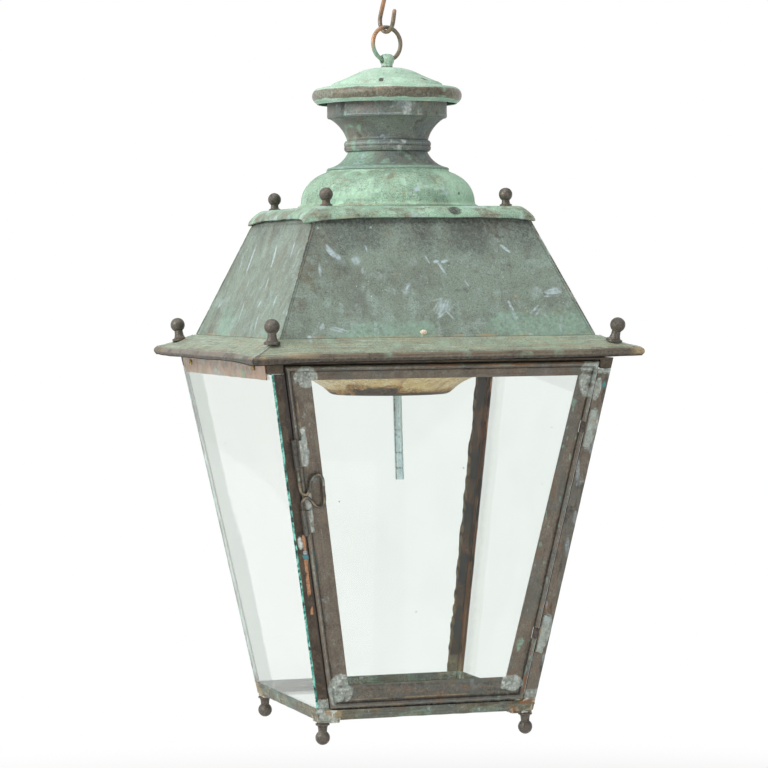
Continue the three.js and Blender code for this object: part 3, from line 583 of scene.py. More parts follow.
verdigris = weathered(
    "verdigris_copper", "a9c4af",
    [
        ("90ae9a", 34, 0.42, 0.62), ("bfd8c8", 16, 0.5, 0.7), ("8f9480", 30, 0.56, 0.72),
        ("7b7665", 8, 0.61, 0.75), ("cbded3", 6, 0.6, 0.74)
    ],
    rough=0.68, metal=0.1, streaks=[("94967e", 9, 0.55, 0.72)]
)
mottled_verdigris = weathered(
    "mottled_verdigris_copper", "8fae97",
    [
        ("7c9684", 30, 0.42, 0.6), ("a6c2ad", 14, 0.5, 0.68), ("7e7b67", 24, 0.52, 0.66),
        ("6f6a59", 7, 0.55, 0.69), ("b9cec0", 5, 0.58, 0.72)
    ],
    rough=0.66, metal=0.1, streaks=[("8b8b72", 9, 0.52, 0.7)], flecks="d9ded2"
)
grey_patina = weathered(
    "grey_patina_copper", "7b897d",
    [
        ("6b7268", 56, 0.42, 0.62), ("8b9c93", 22, 0.48, 0.68), ("72705f", 34, 0.52, 0.7),
        ("9fb1ab", 6, 0.58, 0.74), ("5f655c", 12, 0.55, 0.7)
    ],
    rough=0.62, streaks=[("8c9a92", 12, 0.5, 0.72), ("68695f", 18, 0.52, 0.72)], streaky=0.35,
    flecks="dfe1d8"
)
eave_patina = weathered(
    "eave_patina_copper", "858f7c",
    [
        ("6f776a", 26, 0.45, 0.64), ("9dab9c", 12, 0.5, 0.7), ("8f836c", 26, 0.54, 0.7),
        ("605d52", 9, 0.6, 0.74)
    ],
    rough=0.6, streaks=[("9a8f72", 5, 0.5, 0.66), ("a9b7a8", 3.4, 0.52, 0.68), ("5c5b50", 2.6, 0.53, 0.68)],
    streaky=0.8, flecks="dfe1d8"
)
throat_patina = weathered(
    "throat_patina_copper", "737b70",
    [
        ("5f676a", 26, 0.45, 0.62), ("83776b", 34, 0.48, 0.64), ("93a49c", 8, 0.58, 0.72),
        ("4d4f49", 12, 0.56, 0.7)
    ],
    rough=0.6, streaks=[("86968e", 8, 0.55, 0.72)]
)
brown_patina = weathered(
    "brown_patina_copper", "6d6458",
    [
        ("5c5347", 24, 0.45, 0.64), ("7f7d71", 11, 0.52, 0.7), ("7c6248", 16, 0.56, 0.7),
        ("8f9c92", 5, 0.61, 0.75)
    ],
    rough=0.5, metal=0.2,
    streaks=[("51473d", 4, 0.5, 0.68), ("8c877a", 3, 0.56, 0.7), ("77573c", 5, 0.58, 0.72)], streaky=0.65
)
foot_patina = weathered(
    "foot_rim_copper", "696655",
    [
        ("565142", 22, 0.45, 0.64), ("8a8f80", 10, 0.5, 0.68), ("7f6a4c", 16, 0.56, 0.7),
        ("98a596", 5, 0.6, 0.74)
    ],
    rough=0.6, streaks=[("4b463a", 2.6, 0.5, 0.66), ("98a090", 2.2, 0.53, 0.68), ("8a7a5c", 4, 0.56, 0.7)],
    streaky=0.85
)
dark_patina = weathered(
    "dark_patina_copper", "51463a",
    [("3a322a", 14, 0.45, 0.62), ("6d5e4b", 9, 0.55, 0.7), ("70553a", 12, 0.56, 0.7)], rough=0.75,
    metal=0.1, streaks=[("332d26", 6, 0.52, 0.68)]
)
sooty_patina = weathered(
    "sooty_patina_copper", "3b2a1a",
    [("281c12", 14, 0.45, 0.62), ("5c472d", 9, 0.55, 0.7), ("86501f", 10, 0.5, 0.62)], rough=0.95,
    metal=0.0, streaks=[("241a12", 6, 0.52, 0.68)], sheen=0.08
)
chalky_patina = weathered(
    "chalky_patina_copper", "c0c9c0", [("a9b3aa", 14, 0.45, 0.62), ("d2d9d0", 8, 0.52, 0.7)], rough=0.85,
    metal=0.0
)
cast_brass = weathered(
    "dark_cast_brass", "5d5850",
    [("443f39", 8, 0.45, 0.62), ("7d7972", 4, 0.54, 0.7), ("66533f", 10, 0.55, 0.7)], rough=0.46, metal=0.3
)
hook_copper = weathered(
    "hook_copper", "7f705f",
    [("6b655a", 12, 0.45, 0.62), ("82907f", 10, 0.52, 0.68), ("9a7a62", 7, 0.55, 0.72)], rough=0.45,
    metal=0.35
)
strip_copper = weathered(
    "strip_copper", "a18c78",
    [("8c7766", 26, 0.45, 0.64), ("b6a28f", 12, 0.52, 0.7), ("86887a", 9, 0.58, 0.72)], rough=0.42,
    metal=0.4, depth=0.15
)
yellow_brass = weathered(
    "yellow_brass", "b39650", [("8d7440", 6, 0.45, 0.62), ("c9b173", 3, 0.55, 0.7)], rough=0.38, metal=0.7,
    depth=0.1
)
rusty_steel = weathered(
    "rusty_steel", "5b534c", [("473f39", 12, 0.45, 0.6), ("7a5236", 9, 0.55, 0.68)], rough=0.7, metal=0.35
)
zinc_steel = weathered(
    "zinc_steel", "cfecf2", [("bcdbe4", 18, 0.45, 0.62), ("e0f0f2", 7, 0.55, 0.7)], rough=0.38, metal=0.3,
    streaks=[("6c7780", 4, 0.56, 0.66)], depth=0.1
)
cream_enamel = weathered(
    "cream_enamel", "ddb77c",
    [("c4995a", 30, 0.46, 0.64), ("946a38", 12, 0.55, 0.68), ("f0dfb2", 12, 0.5, 0.64)], rough=0.28,
    metal=0.0, streaks=[("a67a42", 11, 0.52, 0.66)], streaky=0.8, pitted=0.7, depth=0.12
)
pale_paint = weathered(
    "pale_paint", "dccdb0", [("a8926c", 4, 0.55, 0.66), ("efe6d6", 3, 0.5, 0.65)], metal=0.0, depth=0.2
)
solder_metal = weathered(
    "solder_metal", "9aa29b",
    [("7f867f", 6, 0.45, 0.64), ("b8c0b8", 4, 0.55, 0.7), ("857a64", 9, 0.55, 0.7)], rough=0.55, metal=0.2,
    depth=0.5
)
putty = weathered(
    "dry_putty", "7c6748", [("5b4a33", 6, 0.45, 0.62), ("a8854f", 4, 0.55, 0.7), ("8a5a2c", 7, 0.55, 0.68)],
    rough=0.9, metal=0.0, depth=0.6
)


def glazing(name, tint, haze, ior):
    """Clear old glass: tinted once per pane, with painted haze and fine specks."""
    s = Shading(name)
    ragged = s.math("SUBTRACT", s.mottle(9, 6, 0.7), 0.22)
    colour = s.mix(s.band(s.mottle(90, 2), 0.35, 0.65, 0, 0.3), rgb(tint), rgb("fbfdfb"))
    colour = s.mix(s.mask("haze", ragged), colour, rgb(haze))
    # The film greys the glass: on the left pane it draws a painted reflection, greyed above a curve and
    # clear below it
    film_and_reflection = s.node("Attribute", attribute_name="film_and_reflection").outputs["Fac"]
    colour = s.mix(s.math("MULTIPLY", film_and_reflection, 0.6), colour, rgb("e4e9e4"))
    speck = s.band(s.cells(26, "F1", s.flow()), 0.04, 0.024, 0, 0.8)
    speck = s.math("MULTIPLY", speck, s.band(s.mottle(40, 2, 0.5), 0.48, 0.55))
    colour = s.mix(speck, colour, rgb("6d756c"))
    pane = s.node(
        "BsdfPrincipled", {"Base Color": colour, "Roughness": 0.02, "IOR": ior, "Transmission Weight": 1.0}
    )
    wave = s.relief(s.mottle(120, 2, 0.4), 0.4, 0.5)
    s.put(pane.inputs["Normal"], wave)
    clear = s.node("BsdfTransparent", {"Color": colour})
    ray = s.node("LightPath")
    share = s.math("MAXIMUM", ray.outputs["Is Shadow Ray"], ray.outputs["Is Diffuse Ray"])
    both = s.node("MixShader", {0: share, 1: pane.outputs[0], 2: clear.outputs[0]})
    s.surface(both.outputs[0])
    return s.material


def glass_rim():
    """The cut edge of a pane, which shows the glass's own green."""
    s = Shading("glass_rim")
    upright = s.node("Mapping", {"Vector": s.here, "Scale": (1, 1, 0.35)}).outputs[0]
    chips = s.band(s.mottle(3.5, 4, 0.7, upright), 0.42, 0.6)
    colour = s.mix(chips, rgb("257d70"), rgb("8be0cb"))
    colour = s.mix(s.band(s.mottle(7, 4), 0.5, 0.6), colour, rgb("123f3a"))
    s.shade(
        Base_Color=colour, Roughness=s.blend(chips, 0.15, 0.4), Normal=s.relief(s.mottle(2.5, 4), 0.6, 0.8)
    )
    return s.material


clear_glass = glazing("clear_glass", "f5f8f6", "ccd3ca", 1.36)
inner_glass = glazing("inner_glass", "f3f7f4", "c6cfc7", 1.16)
rim_glass = glass_rim()


# Pieces


def closed_object(name, solid):
    """An object from a closed solid in millimetres, in the scene."""
    points, faces = solid
    mesh = bpy.data.meshes.new(name)
    mesh.from_pydata(metres(points).tolist(), [], faces)
    shape = bmesh.new()
    shape.from_mesh(mesh)
    bmesh.ops.remove_doubles(shape, verts=shape.verts, dist=2e-6)
    bmesh.ops.recalc_face_normals(shape, faces=shape.faces)
    shape.to_mesh(mesh)
    shape.free()
    piece = bpy.data.objects.new(name, mesh)
    bpy.context.scene.collection.objects.link(piece)
    return piece


def shade(mesh):
    mesh.shade_smooth()
    mesh.set_sharp_from_angle(angle=math.radians(38))


def add_mesh(name, solid, material, node, masks=None, flow=None, body="lantern", rim=None):
    """A closed solid becomes a named piece that rides on a body and replaces a node. Masks and flow
    are functions of its points; rim is a second material and the test of a face that gets it."""
    piece = closed_object(name, solid)
    mesh = piece.data
    mesh.materials.append(material)
    if rim is not None:
        mesh.materials.append(rim[0])
        for face in mesh.polygons:
            if rim[1](np.array(face.normal)):
                face.material_index = 1
    shade(mesh)
    where = np.zeros(len(mesh.vertices) * 3)
    mesh.vertices.foreach_get("co", where)
    where = where.reshape(-1, 3) * 1000 - (0, 0, LANTERN_Z)
    for mask, values in (masks(where) if masks else {}).items():
        layer = mesh.attributes.new(mask, "FLOAT", "POINT")
        layer.data.foreach_set("value", np.broadcast_to(values, len(where)).astype(np.float32))
    runs = flow(where) if flow else where * (1, 1, 0.12)
    layer = mesh.attributes.new("flow", "FLOAT_VECTOR", "POINT")
    layer.data.foreach_set("vector", (np.asarray(runs) * 0.001).astype(np.float32).ravel())
    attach(piece, body)
    if node:
        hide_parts(node)
    return piece


def carve(piece, tool):
    """Cuts a tool solid out of a piece and clears the tool away."""
    cutter = closed_object("cutter", tool)
    change = piece.modifiers.new("cut", "BOOLEAN")
    change.operation, change.solver, change.object = "DIFFERENCE", "EXACT", cutter
    bpy.context.view_layer.update()
    done = bpy.data.meshes.new_from_object(piece.evaluated_get(bpy.context.evaluated_depsgraph_get()))
    piece.modifiers.clear()
    piece.data = done
    bpy.data.objects.remove(cutter)


def turn_about_z(points, angle):
    c, s = math.cos(angle), math.sin(angle)
    x, y, z = np.moveaxis(np.asarray(points, float), -1, 0)
    return coords(x * c - y * s, x * s + y * c, z)


# Suspension

HOOK_BEND, HOOK_RISE, HOOK_WIRE, HOOK_TIP = 13.5, 68.0, 5.2, 13.0
LOW_BEND = HOOK_RISE + 2 * HOOK_BEND - HOOK_WIRE / 2
RING_CENTRE = 786.6
KNOB_Z = 767.6


def hook():
    lean = math.asin(HOOK_BEND / (HOOK_RISE / 2))
    sweep = math.pi - math.radians(15) + lean
    angles = lean - sweep * np.linspace(0, 1, 15)
    bend = coords(HOOK_BEND * np.cos(angles), HOOK_BEND * np.sin(angles))
    c, s = math.cos(lean - sweep), math.sin(lean - sweep)
    tip = [HOOK_BEND * c + HOOK_TIP * s, HOOK_BEND * s - HOOK_TIP * c]
    low = np.vstack([bend, tip])
    low = coords(0, low[:, 0], low[:, 1] - LOW_BEND + HOOK_BEND)
    middle = -LOW_BEND + HOOK_BEND + HOOK_RISE / 2
    high = low * (1, -1, 1)
    high[:, 2] = 2 * middle - low[:, 2]
    line = spline(np.vstack([low[::-1], [[0, 0, middle]], high]), 5)
    line = turn_about_z(line, RING_TURN) - (0, 0, LANTERN_Z)
    radius = HOOK_WIRE / 2 - 0.1 + 0.1 * noise(line, 9, 3)
    radius[:4] *= [0.93, 0.96, 0.98, 0.99]

    def masks(p):
        z = p[:, 2] + LANTERN_Z
        return dict(
            bare=0.75 * peak(z, -62, 16) + 0.5 * peak(z, -92, 6),
            green=0.7 * ramp(p[:, 0], 2, 8) * peak(z, -76, 12), dark=0.6 * peak(z, -84, 5)
        )

    add_mesh(
        "hook_wire", swept(line, radius, 24), hook_copper, "suspension_hook", masks,
        body="hook"
    )


def ring():
    a = np.linspace(0, 2 * math.pi, 120, endpoint=False)
    r = 19 + 0.12 * np.sin(3 * a + 1)
    line = coords(r * np.cos(a), 0, RING_CENTRE + r * np.sin(a))
    line = turn_about_z(line, RING_TURN)
    radius = 2.36 + 0.06 * np.sin(7 * a) - 0.12 * peak(a, 4.0, 0.06)

    def masks(p):
        x, z = p[:, 0], p[:, 2] - RING_CENTRE
        return dict(
            bare=0.7 * ramp(-x + 0.5 * z, 8, 18), green=0.85 * ramp(-x - z, 10, 20),
            dark=0.55 * peak(z, 17, 3) * ramp(np.abs(x), 6, 0)
        )

    add_mesh(
        "ring_wire", swept(line, radius, 22, closed=True), hook_copper, "suspension_ring",
        masks, body="ring"
    )


def boss():
    outline = path(
        (0, -24), (4, -24), (4, -8.5), (7, -8.5), bezier([(7, -8.5), (6, -6), (6.8, -4.5)], 8),
        bezier([(6.8, -4.5), (10, 0.5), (6.8, 5.6)], 16), bezier([(6.8, 5.6), (5, 7.4), (0, 7.4)], 10)
    )
    outline[:, 1] += KNOB_Z
    outline[0, 0] = outline[-1, 0] = 0

    def masks(p):
        r, z = np.hypot(p[:, 0], p[:, 1]), p[:, 2]
        hole = ramp(r, 3.6, 2.6) * ramp(np.abs(z - KNOB_Z), 4, 2)
        return dict(
            bare=0.8 * ramp(p[:, 0], 4.5, 7.5) * ramp(z, 760, 764),
            dark=0.7 * peak(z, 760, 2.2) + 0.6 * hole
        )

    piece = add_mesh("ring_knob", turned(outline, 64), verdigris, "ring_boss", masks)
    s = np.linspace(-11, 11, 23)
    mouth = [(0, -11)] + [(2.8 + t * t / 30, t) for t in s] + [(0, 11)]
    tool, faces = turned(mouth, 32)
    tool = coords(tool[:, 2], tool[:, 1], -tool[:, 0])
    tool = turn_about_z(tool, RING_TURN) + (0, 0, KNOB_Z)
    carve(piece, (tool, faces))
    shade(piece.data)


# Crown


def dented(solid, amount, size, seed, inwards=0.6):
    """Pushes a turned solid's surface in and out by smooth noise, mostly inwards."""
    points, faces = solid
    push = amount * (rough_noise(points, size, seed, 2) - inwards)
    r = np.hypot(points[:, 0], points[:, 1])
    way = points[:, :2] / np.maximum(r, 1e-6)[:, None]
    free = ramp(r, 4, 25)
    out = points.copy()
    out[:, :2] += way * (push * free)[:, None]
    out[:, 2] += 0.7 * amount * rough_noise(points, size * 1.4, seed + 9, 2) * free * 0.6
    return out, faces


def round_about(p):
    """Azimuth of a crown point as seen from the front: 0 faces the door, positive to the right."""
    return np.degrees(np.arctan2(p[:, 0], -p[:, 1]))


def to_left(az, start, full):
    """Rises from start to full towards the left and fades out at the back."""
    return ramp(az, start, full) * ramp(az, -168, -130)


def to_right(az, start, full):
    return ramp(az, start, full) * ramp(az, 168, 130)


def chimney_cap():
    line = path(
        (80.2, 717), arc(76.7, 726.5, 9.5, -math.pi / 3, math.pi / 2, 22), (70.5, 736.6), (66.2, 737.6),
        (64.6, 738.6), (63.6, 740.4), (61.2, 741.6), bezier([(61.2, 741.8), (46, 747.6), (36, 752.6)], 10),
        bezier([(36, 752.6), (24, 758.4), (12, 758.8)], 10), (8, 758.6), (4.6, 758.4)
    )
    solid = dented(turned(sheet(line), 128), 0.55, 42, 5)

    def masks(p):
        r, z, az = np.hypot(p[:, 0], p[:, 1]), p[:, 2], round_about(p)
        roll = ramp(r, 67, 70) * ramp(z, 715, 719) * ramp(z, 737.5, 735.5)
        worn = 1 - 0.4 * to_left(az, -46, -66)
        low, high = 720.8 + 1.4 * noise(p * (1, 1, 0), 9, 8), 732.6 + 1.2 * noise(p * (1, 1, 0), 12, 9)
        worn = worn * ramp(z, low - 0.7, low + 0.7) * ramp(z, high + 0.7, high - 0.7)
        return dict(
            brown=1.3 * roll * worn,
            dark=most(
                0.54 * roll * worn * blots(p * (1, 1, 0.4), 16, 11, -0.7, 0.2),
                0.95 * spot(az, z, (-24, 742), 4, 3), 0.95 * spot(az, z, (31, 743.5), 4, 2.2),
                0.9 * (z < 720) * ramp(r, 78.5, 76), 0.5 * peak(r, 64.5, 1.2)
            ),
            green=most(
                0.85 * roll * peak(az, 30, 9) * blots(p, 2.6, 3, 0.0, 0.4),
                0.8 * peak(z, 735, 1.6) * (r > 70) * blots(p, 9, 6, -0.5, 0.2),
                0.8 * (z < 721) * roll * blots(p, 8, 7, -0.5, 0.2),
                0.9 * peak(z, 719.0, 1.6) * ramp(az, -32, -22) * ramp(az, 50, 42)
                * blots(p, 6, 5, -0.4, 0.1),
                0.7 * roll * blots(p, 5, 15, 0.5, 0.7)
            ),
            # Painted highlights: lighter bare-metal tone in the middle of the roll, where the light catches
            # the brown band
            bare=most(
                0.58 * roll * peak(z, 730, 3) * peak(az, -24, 7),
                0.58 * roll * peak(z, 731, 3) * peak(az, 10, 7)
            ),
            tan=0.7 * peak(r, 62, 3) * blots(p, 20, 31, 0.0, 0.4) * ramp(np.abs(az), 70, 50),
            mint=0.7 * (z > 738) * blots(p, 16, 32, -0.2, 0.4)
        )

    add_mesh("cap", solid, verdigris, "chimney_cap", masks)


def chimney_throat():
    line = path(
        bezier([(46.9, 675.3), (49.4, 686), (57, 695), (65.4, 700.2)], 14), (68.4, 701), (69, 702),
        (69.2, 703.4), (69, 705), (69, 714), (69, 722), (69.3, 724)
    )
    solid = dented(turned(sheet(line), 112), 0.45, 34, 12, 0.5)

    def masks(p):
        z, az = p[:, 2], round_about(p)
        band = ramp(z, 700.5, 702)
        funnel = ramp(z, 700.5, 699)
        return dict(
            slate=most(0.75 * band * to_left(az, -28, -45), 0.7 * funnel * blots(p, 18, 34, -0.4, 0.3)),
            dark=most(
                0.7 * band * to_left(az, -35, -60) * blots(p, 9, 3, -0.3, 0.3), 0.6 * peak(z, 700.6, 0.9),
                0.62 * funnel * to_right(az, 10, 60), 0.6 * blots(p, 8, 30, 0.3, 0.6)
            ),
            pale=most(
                0.7 * peak(z, 703.4, 1.0) * blots(p, 22, 40, -0.5, 0.1),
                0.85 * band * blots(p * (1, 1, 0.4), 7, 4, 0.15, 0.45) * ramp(z, 707, 720)
                * peak(az, -22, 22),
                0.66 * band * blots(p, 4, 6, 0.4, 0.65) * to_left(az, -20, -40),
                0.66 * peak(z, 677, 1.4) * to_left(az, 30, -10),
                0.62 * funnel * blots(p, 3.4, 16, 0.45, 0.7),
                0.66 * band * peak(az, 2, 26) * blots(p * (1, 1, 0.6), 8, 18, -0.2, 0.4)
            ),
            brown=most(
                0.6 * band * peak(az, 3, 34) * blots(p, 9, 19, 0.0, 0.4),
                0.58 * funnel * blots(p, 24, 33, 0.0, 0.4)
            ),
            tan=0.8 * peak(az, 21, 4) * peak(z, 715, 7),
            oxide_and_highlight=0.68 * band * peak(az, 0, 28) * blots(p, 7, 35, -0.8, 0.4),
            green=most(
                0.66 * funnel * blots(p, 7, 9, 0.1, 0.5) * to_left(az, 0, -40),
                0.7 * band * blots(p, 6, 12, 0.2, 0.5) * to_left(az, -20, -50)
            )
        )

    add_mesh("throat", solid, throat_patina, "chimney_throat", masks)


def neck_ring():
    outline = path(
        (44.5, 662.6), (48.2, 662.6), (49.2, 663.6), bezier([(49.2, 663.6), (50.6, 665), (50.2, 667.6)], 5),
        (49.6, 668.6), (50.1, 669.6), bezier([(50.1, 669.6), (50.6, 672.4), (49.3, 673.8)], 5), (48.4, 675),
        (44.5, 675)
    )
    solid = dented(turned(outline, 112), 0.25, 20, 7)

    def masks(p):
        az, z = round_about(p), p[:, 2]
        bits = noise(p, 10, 27)
        return dict(
            green=0.72 * to_left(az, 0, -50) * ramp(bits, -0.5, 0.3),
            brown=0.6 * peak(az, 0, 34) * blots(p, 5, 29, -0.2, 0.4),
            oxide_and_highlight=0.68 * peak(az, -4, 30) * blots(p, 4, 28, -0.7, 0.4),
            dark=most(0.62 * to_right(az, 20, 60), 0.8 * peak(z, 668.6, 0.7)),
            pale=most(
                0.75 * peak(z, 674.4, 0.8) * to_left(az, 40, 0), 0.7 * peak(z, 663.4, 0.7),
                0.62 * peak(z, 671.5, 1.2)
            )
        )

    add_mesh("neck_bead", solid, throat_patina, "neck_ring", masks)


def dome():
    line = path(
        (104.5, 597.8), (104.5, 599.4), (103.6, 600.4),
        bezier([(103.6, 600.4), (101.2, 600.8), (100.5, 604)], 6), arc(55, 604, 45.5, 0.1, 1.2, 22, 37.6),
        (70.6, 641.4)
    )
    solid = dented(turned(sheet(line), 128), 0.6, 40, 31)

    def masks(p):
        z, az = p[:, 2], round_about(p)
        front = peak(az, -16, 26)
        return dict(
            brown=0.62 * front * (0.6 + 0.6 * noise(p * (1, 1, 0.5), 5, 14)) * ramp(z, 603, 614),
            tan=most(
                0.75 * peak(z, 600.5, 1.3), 0.5 * blots(p, 18, 44, 0.2, 0.6),
                0.6 * front * blots(p, 7, 45, -0.2, 0.5)
            ),
            green=0.66 * to_left(az, -28, -55) * blots(p, 20, 3, -0.4, 0.2),
            # The first mint term is painted light: it lightens the dome's right side, which the lamps leave
            # in shade; the blots are random
            mint=most(0.9 * to_right(az, 12, 34), 0.66 * blots(p, 9, 46, 0.0, 0.5)),
            pale=most(
                0.85 * spot(az, z, (12, 616), 26, 8) * blots(p, 5, 21, -0.1, 0.4),
                0.62 * blots(p, 7, 2, 0.4, 0.7)
            ),
            dark=most(
                1.1 * spot(az, z, (36, 613), 2.2, 2.0), 0.7 * blots(p, 4, 17, 0.6, 0.8),
                0.6 * peak(z, 641, 1.0)
            )
        )

    add_mesh("dome", solid, mottled_verdigris, "crown_dome", masks)


def flare():
    line = path(
        (70.8, 641.9), (70.4, 642.9), (69, 643.9),
        bezier([(69, 643.9), (58, 646), (50, 653), (46, 662.3)], 18)
    )
    solid = dented(turned(sheet(line), 112), 0.3, 24, 16)

    def masks(p):
        z, az = p[:, 2], round_about(p)
        return dict(
            green=most(
                0.72 * to_left(az, 0, -50), 0.72 * ramp(z, 650, 644), 0.66 * blots(p, 6, 41, -0.2, 0.4)
            ),
            dark=most(
                0.6 * blots(p, 6, 5, 0.1, 0.5) * ramp(z, 646, 652) * (1 - to_left(az, -20, -50)),
                0.6 * peak(z, 642.5, 0.8)
            ),
            brown=0.55 * blots(p, 8, 6, 0.2, 0.6),
            pale=most(
                0.66 * to_left(az, -20, -50) * blots(p, 8, 7, 0, 0.5), 0.7 * peak(z, 644.4, 0.8),
                0.6 * blots(p, 3.2, 8, 0.3, 0.6)
            )
        )

    add_mesh("flare", solid, throat_patina, "dome_flare", masks)


def collar():
    line = path(
        (116.5, 597.5), (120, 596.4), (124.5, 593.2), (128, 590.6), (130.4, 588.2), (131.4, 586),
        (131.6, 584)
    )
    x, y = square_stations(72)
    edge = coords(x, y)
    circle = edge / np.linalg.norm(edge, axis=1)[:, None]
    rows = []
    for t in np.linspace(0, 1, 9):
        rows.append(np.column_stack([(1 - t) * 96 * circle + t * 116.5 * edge, np.full(len(x), 597.5)]))
    for h, z in finer(line, 2.2)[1:]:
        rows.append(np.column_stack([h * edge, np.full(len(x), z)]))
    top = np.array(rows)
    along = np.where(np.abs(x) < np.abs(y), x, y)
    lip = ramp(597.4 - top[:, :, 2], 1, 12)
    droop = -3.6 * lip * np.abs(along) ** 7 + 0.8 * lip * (1 - along**2)
    wave = 0.7 * noise(top * (1, 1, 0.5), 22, 6) * lip + 0.25 * noise(top, 9, 2) * lip
    top[:, :, 2] += droop + wave
    bent = lip * np.exp(-((top[:, :, 0] + 131) ** 2 + (top[:, :, 1] + 131) ** 2) / 30**2)
    top[:, :, 0] -= 7.5 * bent
    top[:, :, 2] -= 1.5 * bent
    under = top.copy()
    under[:, :, 2] -= 1.6 * (1 - 0.6 * lip)
    under[:, :, :2] *= (1 - 0.0115 * lip)[..., None]
    solid = closed_rings(np.concatenate([top, under[::-1]]))

    def masks(p):
        side = np.maximum(np.abs(p[:, 0]), np.abs(p[:, 1]))
        z = p[:, 2]
        lip_edge = ramp(z, 590, 585)
        front = p[:, 1] < -100
        return dict(
            tan=most(
                0.7 * blots(p, 7, 9, 0.35, 0.6) * ramp(-p[:, 0], 60, 110) * front,
                0.8 * lip_edge * spot(p[:, 0], z, (-90, 584), 14, 5) * front,
                0.62 * lip_edge * blots(p, 6, 3, 0.3, 0.6)
            ),
            dark=most(
                0.8 * spot(p[:, 0], z, (38, 592), 10, 6) * front, 0.5 * peak(side, 117.5, 1.2),
                0.5 * blots(p, 5, 27, 0.62, 0.8)
            ),
            pale=0.6 * blots(p, 13, 33, 0.35, 0.6), green=0.6 * blots(p, 15, 13, 0.2, 0.5),
            brown=most(
                0.66 * blots(p, 14, 73, -0.4, 0.3) * ramp(z, 597.3, 594),
                0.7 * peak(z, 585.5, 1.2) * blots(p, 12, 74, -0.3, 0.2)
            )
        )

    add_mesh("collar", solid, mottled_verdigris, "collar_plate", masks)


# Finials and feet


def ball_outline(ball, height, neck, flange, root=0.0, rim=1.8):
    meets = math.asin(neck / ball)
    return path(
        (0, -root), (flange * 0.8, -root), (flange, -root + 0.4 if root else 0), (flange, 0.2),
        (flange, rim - 0.3), (flange - 0.5, rim), (flange - 1.3, rim + 0.1),
        bezier(
            [(flange - 1.3, rim + 0.1), (neck + 0.2, rim + 0.6), (neck, height - ball * math.cos(meets))], 8
        ),
        (neck + 0.4, height - ball * math.cos(meets) + 0.2),
        arc(0, height, ball, meets - math.pi / 2, math.pi / 2, 22)
    )


def lean_over(points, corner, degrees):
    """Leans a ball outwards over its corner."""
    x, y = CORNERS[corner]
    axis = np.array([-y, x, 0]) / math.sqrt(2)
    a = math.radians(degrees)
    along = np.outer(points @ axis, axis)
    return points * math.cos(a) + np.cross(axis, points) * math.sin(a) + along * (1 - math.cos(a))


COLLAR_TOP, FOOT_TOP = 597.8, 24.1
COLLAR_LEANS = (2, -1, 3, 1)
# The eave finials' half-widths, leans in degrees and heights
EAVE_PLACES = {
    "front_left": (194.5, 0, 448.6), "front_right": (199, 14, 446.4), "back_right": (199, 4, 446.4),
    "back_left": (199, 9, 446.4)
}


def cast_ball(corner, name, node, shape, wave, seed, lean, half, base, hangs=False):
    """A turned ball and its stem, which lean outwards by some degrees or hang upside down."""
    points, faces = turned(ball_outline(*shape), 48)
    points = lumpy(points, wave, 5, seed)
    points = points * (0.99, -0.99, -0.99) if hangs else lean_over(points, corner, lean)
    x, y = CORNERS[corner]
    solid = (points + (x * half, y * half, base), faces)
    ball, height = shape[:2]
    masks = ball_masks(base, -height if hangs else height, ball)
    add_mesh(f"{name}_{corner}", solid, cast_brass, f"{node}_{corner}", masks)


def finials():
    for k, corner in enumerate(CORNERS):
        shape = (7.7, 12.8, 4.3, 6.9)
        cast_ball(
            corner, "collar_ball", "collar_finial", shape, 0.12, k, COLLAR_LEANS[k], 105.8, COLLAR_TOP
        )
        half, lean, base = EAVE_PLACES[corner]
        shape = (8.5, 17.4, 4.9, 9.0, 2.2, 1.3)
        cast_ball(corner, "eave_ball", "eave_finial", shape, 0.14, k + 20, lean, half, base)
        shape = (8.2, 15.9, 4.9, 8.0)
        cast_ball(corner, "foot", "ball_foot", shape, 0.12, k + 40, 0, 119.6, FOOT_TOP, hangs=True)


def ball_masks(base, height, ball):
    def masks(p):
        up = (p[:, 2] - base) * np.sign(height)
        return dict(
            rust=0.72 * peak(up, 1.0, 1.6) * blots(p, 5, 3, -0.3, 0.3),
            tan=0.55 * peak(up, abs(height) - ball + 1.5, 2.0),
            bare=0.5 * peak(up, abs(height), 1.4) * blots(p, 7, 8, -0.1, 0.5),
            dark=0.62 * blots(p, 6, 15, 0.2, 0.6)
        )

    return masks


# Roof

# Brushed patches: centre along and up the slope, half length and width, angle, strength
FRONT_PATCHES = [
    (-112, 104, 11, 5.5, -58, 1.05), (-105, 97, 7, 5, -50, 0.95), (-127, 81, 11, 2.6, 86, 1.0),
    (-84, 92, 8, 8, 60, 0.84), (-77, 80, 6, 4, 70, 0.8), (-71, 107, 7, 2.2, -80, 0.85),
    (-2, 93, 9, 1.6, -68, 0.95), (14, 82, 12, 2.2, -62, 1.2), (18, 90, 6, 4, 10, 0.95),
    (8, 90, 5, 3, 20, 0.85), (41, 63, 7, 1.7, -60, 1.0), (93, 105, 9, 3.2, -40, 1.1),
    (141, 53, 15, 6, 8, 0.92), (140, 47, 14, 1.8, 0, 0.9), (8, 34, 17, 12, 60, 0.86),
    (2, 44, 12, 2, 20, 0.95), (14, 28, 12, 2, -55, 0.95), (4, 25, 9, 2, 40, 0.9),
    (92, 22, 12, 4, -70, 0.88), (88, 36, 10, 4, -75, 0.84), (-115, 10, 18, 4, -18, 0.84),
    (-134, 14, 7, 6, 60, 0.85), (-66, 12, 9, 5, 20, 0.8), (116, 30, 12, 8, 40, 0.78),
    (-30, 58, 12, 8, 50, 0.78)
]
